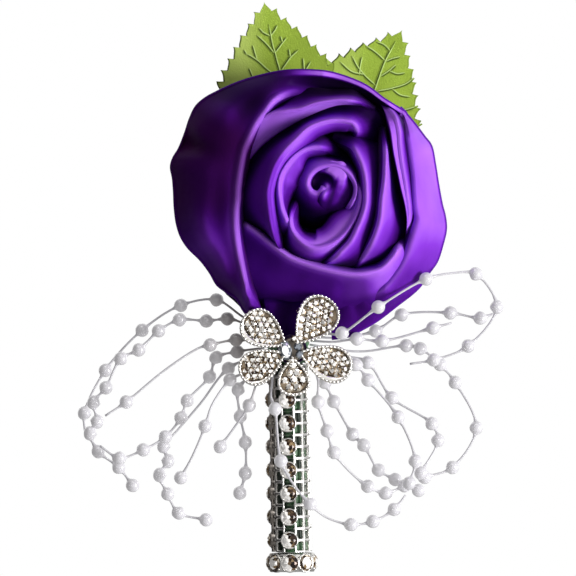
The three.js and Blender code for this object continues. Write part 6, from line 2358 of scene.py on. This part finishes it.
def centre_stones():
    """Stones set on the hub"""
    level = ORNAMENT_BACK - HUB_HEIGHT + CENTRE_SINK
    for number, (name, pixel, (half_width, half_height), lean, sides, kind) in enumerate(CENTRE_STONES):
        middle = picture_place(*pixel, level)
        points, faces, tones = cut_stone_mesh(sides, CENTRE_SEED + number)
        placed = []
        for x, y, rise in points:
            flat = Matrix.Rotation(lean, 2) @ Vector((x * half_width, y * half_height))
            placed.append((middle.x + flat.x, level - rise * CENTRE_HEIGHT, middle.z + flat.y))
        finish = STONE if kind == "warm" else CLEAR_STONE
        stone = new_piece(name, placed, faces, finish, ("centre_stone",), smooth=False)
        dimmed = 0.35 if kind == "grey" else 1
        store(stone, "cut", [tone * dimmed for tone in tones], "FACE")


for number, petal in enumerate(ORNAMENT_PETALS):
    petal_rim(petal)
    crystal_bed(petal, BED_SEED + number)
milled_edges()
hub_and_pad()
centre_stones()
felt_disc("felt_back", "felt_backing", (ROSE_X, ROSE_Z), FELT_RADIUS, FELT_BACK, FELT_FRONT)


# Pearl garland: pearls moulded on a thin line that swells towards each of them
GARLAND = {
    "pearl_spray_left_1": (
        (180, 331),
        [(241, 316, -0.125, 0), (216, 300, -0.175, 1), (180, 305.5, -0.2, 1), (141, 330.5, -0.2, 1),
         (104, 371, -0.2, 1), (83, 414, -0.175, 1), (84, 436, -0.15, 0)],
    ),
    "pearl_spray_left_2": (
        (191, 337),
        [(240, 322, 0.075, 0), (227, 319, 0.05, 1), (206, 321, 0.025, 1), (179, 320, 0, 1),
         (158, 331, 0, 1), (138, 350, 0, 1), (120, 359, 0, 1), (105, 388, 0.025, 1), (93, 403, 0.05, 1),
         (96, 422, 0.05, 1), (89.5, 434, 0.05, 1), (97.5, 452, 0.05, 1), (118, 468, 0.075, 1),
         (132, 486, 0.1, 1)],
    ),
    "pearl_spray_left_3": (
        (203, 343),
        [(236, 340, 0.2, 1), (210, 345, 0.225, 1), (199, 348, 0.225, 0), (165, 370, 0.225, 0),
         (126, 402, 0.25, 1), (105, 416, 0.275, 0)],
    ),
    "pearl_spray_left_4": (
        (180, 348),
        [(237, 352, 0, 1), (216, 358, 0.025, 1), (209, 377, 0.05, 1), (187, 401, 0.1, 1),
         (180.5, 418, 0.15, 1), (165, 437, 0.2, 1), (143, 450, 0.25, 1), (119, 458, 0.275, 1),
         (100, 446, 0.3, 0)],
    ),
    "pearl_spray_left_5": (
        (145, 352),
        [(228, 369, -0.2, 1), (200, 404, -0.2, 0), (176, 432, -0.175, 0), (163, 447, -0.1, 1),
         (167, 462, -0.075, 1), (159, 476, -0.05, 1), (167, 495, -0.05, 1), (178, 514, -0.05, 1),
         (205.5, 521, -0.05, 1)],
    ),
    "pearl_spray_left_6": (
        (186, 355),
        [(246, 372, 0.1, 0), (230, 380, 0.225, 1), (212, 405, 0.3, 0), (205, 426, 0.35, 1),
         (193, 455, 0.3, 0), (180.5, 478, 0.2, 1)],
    ),
    "pearl_spray_left_7": (
        (169, 360),
        [(250, 376, -0.1, 0), (238, 390, -0.1, 1), (240, 417, -0.1, 1), (245, 443, -0.075, 1),
         (245, 474, -0.05, 1), (239.5, 494, -0.05, 1)],
    ),
    "pearl_spray_left_8": (
        (209, 361),
        [(257, 382, 0.225, 0), (249, 405.5, 0.25, 1), (234, 428, 0.2, 0), (220, 447, 0.15, 1)],
    ),
    "pearl_spray_front": (
        (235, 360),
        [(272, 384, 0.29, 0), (271, 398, 0.31, 0), (275, 409, 0.345, 1), (281, 461, 0.39, 1),
         (294, 485, 0.38, 0), (310, 504, 0.325, 1), (327, 518, 0.225, 0), (351, 525, 0.2, 1),
         (373, 522, 0.15, 1), (394.5, 510, 0.1, 1), (406, 496, 0.075, 0)],
    ),
    "pearl_spray_right_1": (
        (-17, 333),
        [(328, 334, 0.25, 0), (342, 333, 0.4, 1), (378, 307, 0.545, 1), (426, 279, 0.425, 1),
         (454, 273, 0.325, 0), (476, 274, 0.25, 1), (497, 307, 0.2, 1), (468.5, 346, 0.2, 1),
         (434, 360, 0.225, 1), (410, 364, 0.25, 0)],
    ),
    "pearl_spray_right_2": (
        (17, 337),
        [(340, 338, -0.1, 0), (376, 331, -0.075, 1), (402, 315, -0.05, 1), (451, 313, 0, 1),
         (481, 318, 0.025, 1), (494, 314, 0.025, 0)],
    ),
    "pearl_spray_right_3": (
        (-11, 341),
        [(335, 342, 0.15, 0), (357, 339, 0.2, 1), (382, 341, 0.2, 1), (433, 328, 0.225, 1),
         (452, 323, 0.225, 0)],
    ),
    "pearl_spray_right_4": (
        (23, 345),
        [(360, 352, -0.175, 0), (407, 346, -0.15, 1), (421, 349, -0.125, 1), (441, 365, -0.075, 1),
         (456, 383, -0.05, 1), (477, 428.5, 0, 1), (453, 468, 0.05, 1), (425, 478, 0.1, 1)],
    ),
    "pearl_spray_right_5": (
        (-5, 350),
        [(345, 356, 0.04, 0), (368, 363, 0.05, 1), (392, 398, 0.125, 1), (432, 424, 0.2, 1),
         (438, 440.5, 0.225, 1), (421, 473, 0.325, 1)],
    ),
    "pearl_spray_right_6": (
        (-35, 354),
        [(335, 362, 0.225, 0), (356, 365, 0.26, 1), (368, 380, 0.275, 1), (398, 417, 0.325, 1),
         (415, 461, 0.4, 1), (409, 483, 0.45, 1)],
    ),
    "pearl_spray_right_7": (
        (-23, 359),
        [(318, 380, 0.175, 0), (318, 402, 0.25, 1), (327, 431, 0.275, 1), (334, 452.5, 0.25, 1),
         (350, 472, 0.175, 0), (368, 487, 0.05, 1), (386, 494, -0.025, 1), (405, 487, -0.075, 1)],
    ),
    "pearl_spray_right_8": (
        (17, 360),
        [(325, 383, -0.1, 1), (334, 402, -0.075, 1), (353, 435, -0.05, 1), (364, 446, 0, 1),
         (379, 471, -0.125, 1), (396, 481, -0.225, 1), (419.5, 492, -0.25, 1)],
    ),
}
NECK_ROW = 316.36
GARLAND_DEPTH = 20 * MM
SPRAY_SEAT = 5.2 * MM
PEARL_RADIUS = 1.5 * MM
LINE_RADIUS = 0.25 * MM
NECK_RADIUS = 0.62 * MM
# Painted shade on the strands near the neck at the left
SHADE_FROM = 8 * MM
SHADE_TO = 23 * MM
LEFT_SHADE_FROM = -8 * MM
LEFT_SHADE_TO = -12 * MM
NECK_LENGTH = 1.4 * MM
SPRAY_SIDES = 16
CLOSE_STEP = 0.2 * MM
FAR_STEP = 1.4 * MM
CURVE_STEPS = 40


def rounded_route(points):
    """Smooth line through points, spaced by the square root of their distances"""
    line = []
    whole = [points[0] * 2 - points[1]] + points + [points[-1] * 2 - points[-2]]
    for i in range(1, len(whole) - 2):
        before, start, end, after = whole[i - 1:i + 3]
        first = (start - before).length ** 0.5
        middle = (end - start).length ** 0.5
        last = (after - end).length ** 0.5
        pull = (start - before) / first - (end - before) / (first + middle) + (end - start) / middle
        push = (end - start) / middle - (after - start) / (middle + last) + (after - end) / last
        pull *= middle
        push *= middle
        for k in range(CURVE_STEPS):
            t = k / CURVE_STEPS
            a = 2 * t ** 3 - 3 * t ** 2 + 1
            b = t ** 3 - 2 * t ** 2 + t
            c = 3 * t ** 2 - 2 * t ** 3
            d = t ** 3 - t ** 2
            line.append(start * a + pull * b + end * c + push * d)
    line.append(points[-1])
    return line


def spray_radius(distances):
    """Radius of the moulded line at given distances from the pearls, and how much of a pearl it is"""
    best = LINE_RADIUS
    pearl_share = 0
    for distance, neck in distances:
        gap = abs(distance)
        if gap < PEARL_RADIUS:
            best = max(best, math.sqrt(PEARL_RADIUS ** 2 - gap ** 2))
            pearl_share = 1
        outside = gap - PEARL_RADIUS * 0.75
        if outside > 0:
            taper = max(0, 1 - outside / (NECK_LENGTH * neck)) ** 2
            best = max(best, LINE_RADIUS + (NECK_RADIUS - LINE_RADIUS) * taper)
            pearl_share = max(pearl_share, taper * 0.7)
    return best, pearl_share


def spray_places(start, route):
    """Root of a strand in the neck, and the places that it runs through"""
    degrees, start_row = start
    turn = math.radians(degrees)
    places = [Vector((STEM_X + SPRAY_SEAT * math.cos(turn), STEM_Y + SPRAY_SEAT * math.sin(turn),
                      STEM_TOP + (NECK_ROW - start_row) * PIXEL))]
    for column, row, ahead, pearl in route:
        places.append(Vector((STEM_X + (column - MIDDLE_COLUMN) * PIXEL, STEM_Y - ahead * GARLAND_DEPTH,
                              STEM_TOP + (NECK_ROW - row) * PIXEL)))
    return places


def spray_marks(whole, pearls):
    """Distances along a strand where it gets a ring of points, close together near its pearls"""
    marks = [0]
    while marks[-1] < whole:
        nearest = min((abs(marks[-1] - at) for at, neck in pearls), default=math.inf)
        close = nearest < PEARL_RADIUS + NECK_LENGTH
        marks.append(marks[-1] + (CLOSE_STEP if close else FAR_STEP))
    marks[-1] = whole
    return marks


def pearl_spray(name, start, route):
    """One strand of the garland"""
    chance = random.Random(name)
    line = rounded_route(spray_places(start, route))
    if route[-1][3]:
        line.append(line[-1] + (line[-1] - line[-3]).normalized() * PEARL_RADIUS * 0.995)
    lengths = lengths_along(line)
    pearls = []
    for i, spot in enumerate(route):
        if spot[3]:
            pearls.append((lengths[(i + 1) * CURVE_STEPS], chance.uniform(0.6, 1.2)))
    marks = spray_marks(lengths[-1], pearls)
    points = []
    pearl_shares = []
    shades = []
    normal = Vector((0, 1, 0))
    at = 0
    for mark in marks:
        while at < len(lengths) - 2 and lengths[at + 1] < mark:
            at += 1
        share = (mark - lengths[at]) / (lengths[at + 1] - lengths[at])
        middle = line[at].lerp(line[at + 1], share)
        ahead = (line[at + 1] - line[at]).normalized()
        normal = (normal - ahead * normal.dot(ahead)).normalized()
        side = ahead.cross(normal)
        radius, pearl_share = spray_radius([(mark - place, neck) for place, neck in pearls])
        reach = (middle - Vector((STEM_X, middle.y, STEM_TOP))).length
        on_left = smooth_steps(LEFT_SHADE_FROM, LEFT_SHADE_TO, middle.x)
        shade = (1 - smooth_steps(SHADE_FROM, SHADE_TO, reach)) * on_left
        for i in range(SPRAY_SIDES):
            angle = math.tau * i / SPRAY_SIDES
            points.append(middle + (normal * math.cos(angle) + side * math.sin(angle)) * radius)
        pearl_shares += [pearl_share] * SPRAY_SIDES
        shades += [shade] * SPRAY_SIDES
    faces = grid_faces(len(marks), SPRAY_SIDES, True)
    faces.append(tuple(range(SPRAY_SIDES)))
    faces.append(tuple(range((len(marks) - 1) * SPRAY_SIDES, len(marks) * SPRAY_SIDES)))
    piece = new_piece(name + "_line", points, faces, PEARL, (name,))
    store(piece, "bead", pearl_shares)
    store(piece, "shade", shades)
    weld(piece)


for spray, (spray_start, spray_route) in GARLAND.items():
    pearl_spray(spray, spray_start, spray_route)


# Stage: pale floor and plain soft light; flags and lamps in metres, with their facing, size and power
FLOOR_SIZE = 2000 * MM
FLOOR_LEVEL = -330 * MM
CORNERS = ((-1, -1), (1, -1), (1, 1), (-1, 1))
WORLD_FILL_SHARE = 0.17
FLAGS = [
    ("left_flag", (-0.55, -0.15, 0), (1, 0, 0), 0.55, 0.6),
    ("front_flag", (-0.25, -0.95, 0.35), (0.1, 0.9, -0.3), 0.22, 0.3),
]
LAMPS = [
    ("key_light", (0.95, -0.55, -0.12), 0.4, 14),
    ("top_light", (-0.1, -0.45, 1.0), 0.5, 2.5),
]


def make_floor():
    """Pale paper under the brooch"""
    corners = [(a * FLOOR_SIZE, b * FLOOR_SIZE, FLOOR_LEVEL) for a, b in CORNERS]
    floor = loose_object("floor", corners, [], [(0, 1, 2, 3)])
    paper = Finish("floor_paper")
    tone = paper.mix(paper.noise(8, 2), (0.86, 0.86, 0.86, 1), (0.9, 0.9, 0.9, 1))
    floor.data.materials.append(paper.finish(Base_Color=tone, Roughness=0.9))


def make_flag(name, place, facing, half_width, half_height):
    """Dark card beside the brooch that gives shiny satin, metal and stones something dark to mirror"""
    aim = Matrix.Translation(place) @ Vector(facing).to_track_quat("Z", "Y").to_matrix().to_4x4()
    corners = [aim @ Vector((a * half_width, b * half_height, 0)) for a, b in CORNERS]
    card = loose_object(name, corners, [], [(0, 1, 2, 3)])
    velvet = Finish(name + "_velvet")
    tone = velvet.mix(velvet.noise(40, 2), (0.006, 0.006, 0.007, 1), (0.012, 0.011, 0.013, 1))
    card.data.materials.append(velvet.finish(Base_Color=tone, Roughness=1.0))
    card.visible_camera = False


def make_world(fill):
    """White room that lights the brooch with a share of its brightness"""
    world = bpy.data.worlds.new("world")
    bpy.context.scene.world = world
    world.use_nodes = True
    sky = Sheet(world.node_tree)
    camera_ray = sky.add("ShaderNodeLightPath", {}, {}, "Is Camera Ray")
    glossy_ray = sky.add("ShaderNodeLightPath", {}, {}, "Is Glossy Ray")
    clear_ray = sky.add("ShaderNodeLightPath", {}, {}, "Is Transmission Ray")
    seen = sky.add("ShaderNodeMath", {"operation": "MAXIMUM"}, {0: camera_ray, 1: glossy_ray})
    seen = sky.add("ShaderNodeMath", {"operation": "MAXIMUM"}, {0: seen, 1: clear_ray})
    strength = seen * (1 - fill) + fill
    back = sky.add("ShaderNodeBackground", {}, {"Color": (1, 1, 1, 1), "Strength": strength})
    output = sky.tree.nodes.new("ShaderNodeOutputWorld")
    sky.tree.links.new(back.socket, output.inputs["Surface"])


def make_lamp(name, place, target, size, power):
    """Square soft lamp aimed at a place"""
    data = bpy.data.lights.new(name, "AREA")
    data.energy = power
    data.size = size
    lamp = bpy.data.objects.new(name, data)
    aim = (Vector(target) - Vector(place)).to_track_quat("-Z", "Y")
    lamp.matrix_world = Matrix.Translation(place) @ aim.to_matrix().to_4x4()
    bpy.context.scene.collection.objects.link(lamp)


bpy.context.scene.view_settings.view_transform = "Standard"
make_floor()
for flag in FLAGS:
    make_flag(*flag)
make_world(WORLD_FILL_SHARE)
rose_spot = (ROSE_X, ROSE_BACK - ROSE_DEPTH, ROSE_Z)
for lamp_name, lamp_place, lamp_size, power in LAMPS:
    make_lamp(lamp_name, lamp_place, rose_spot, lamp_size, power)
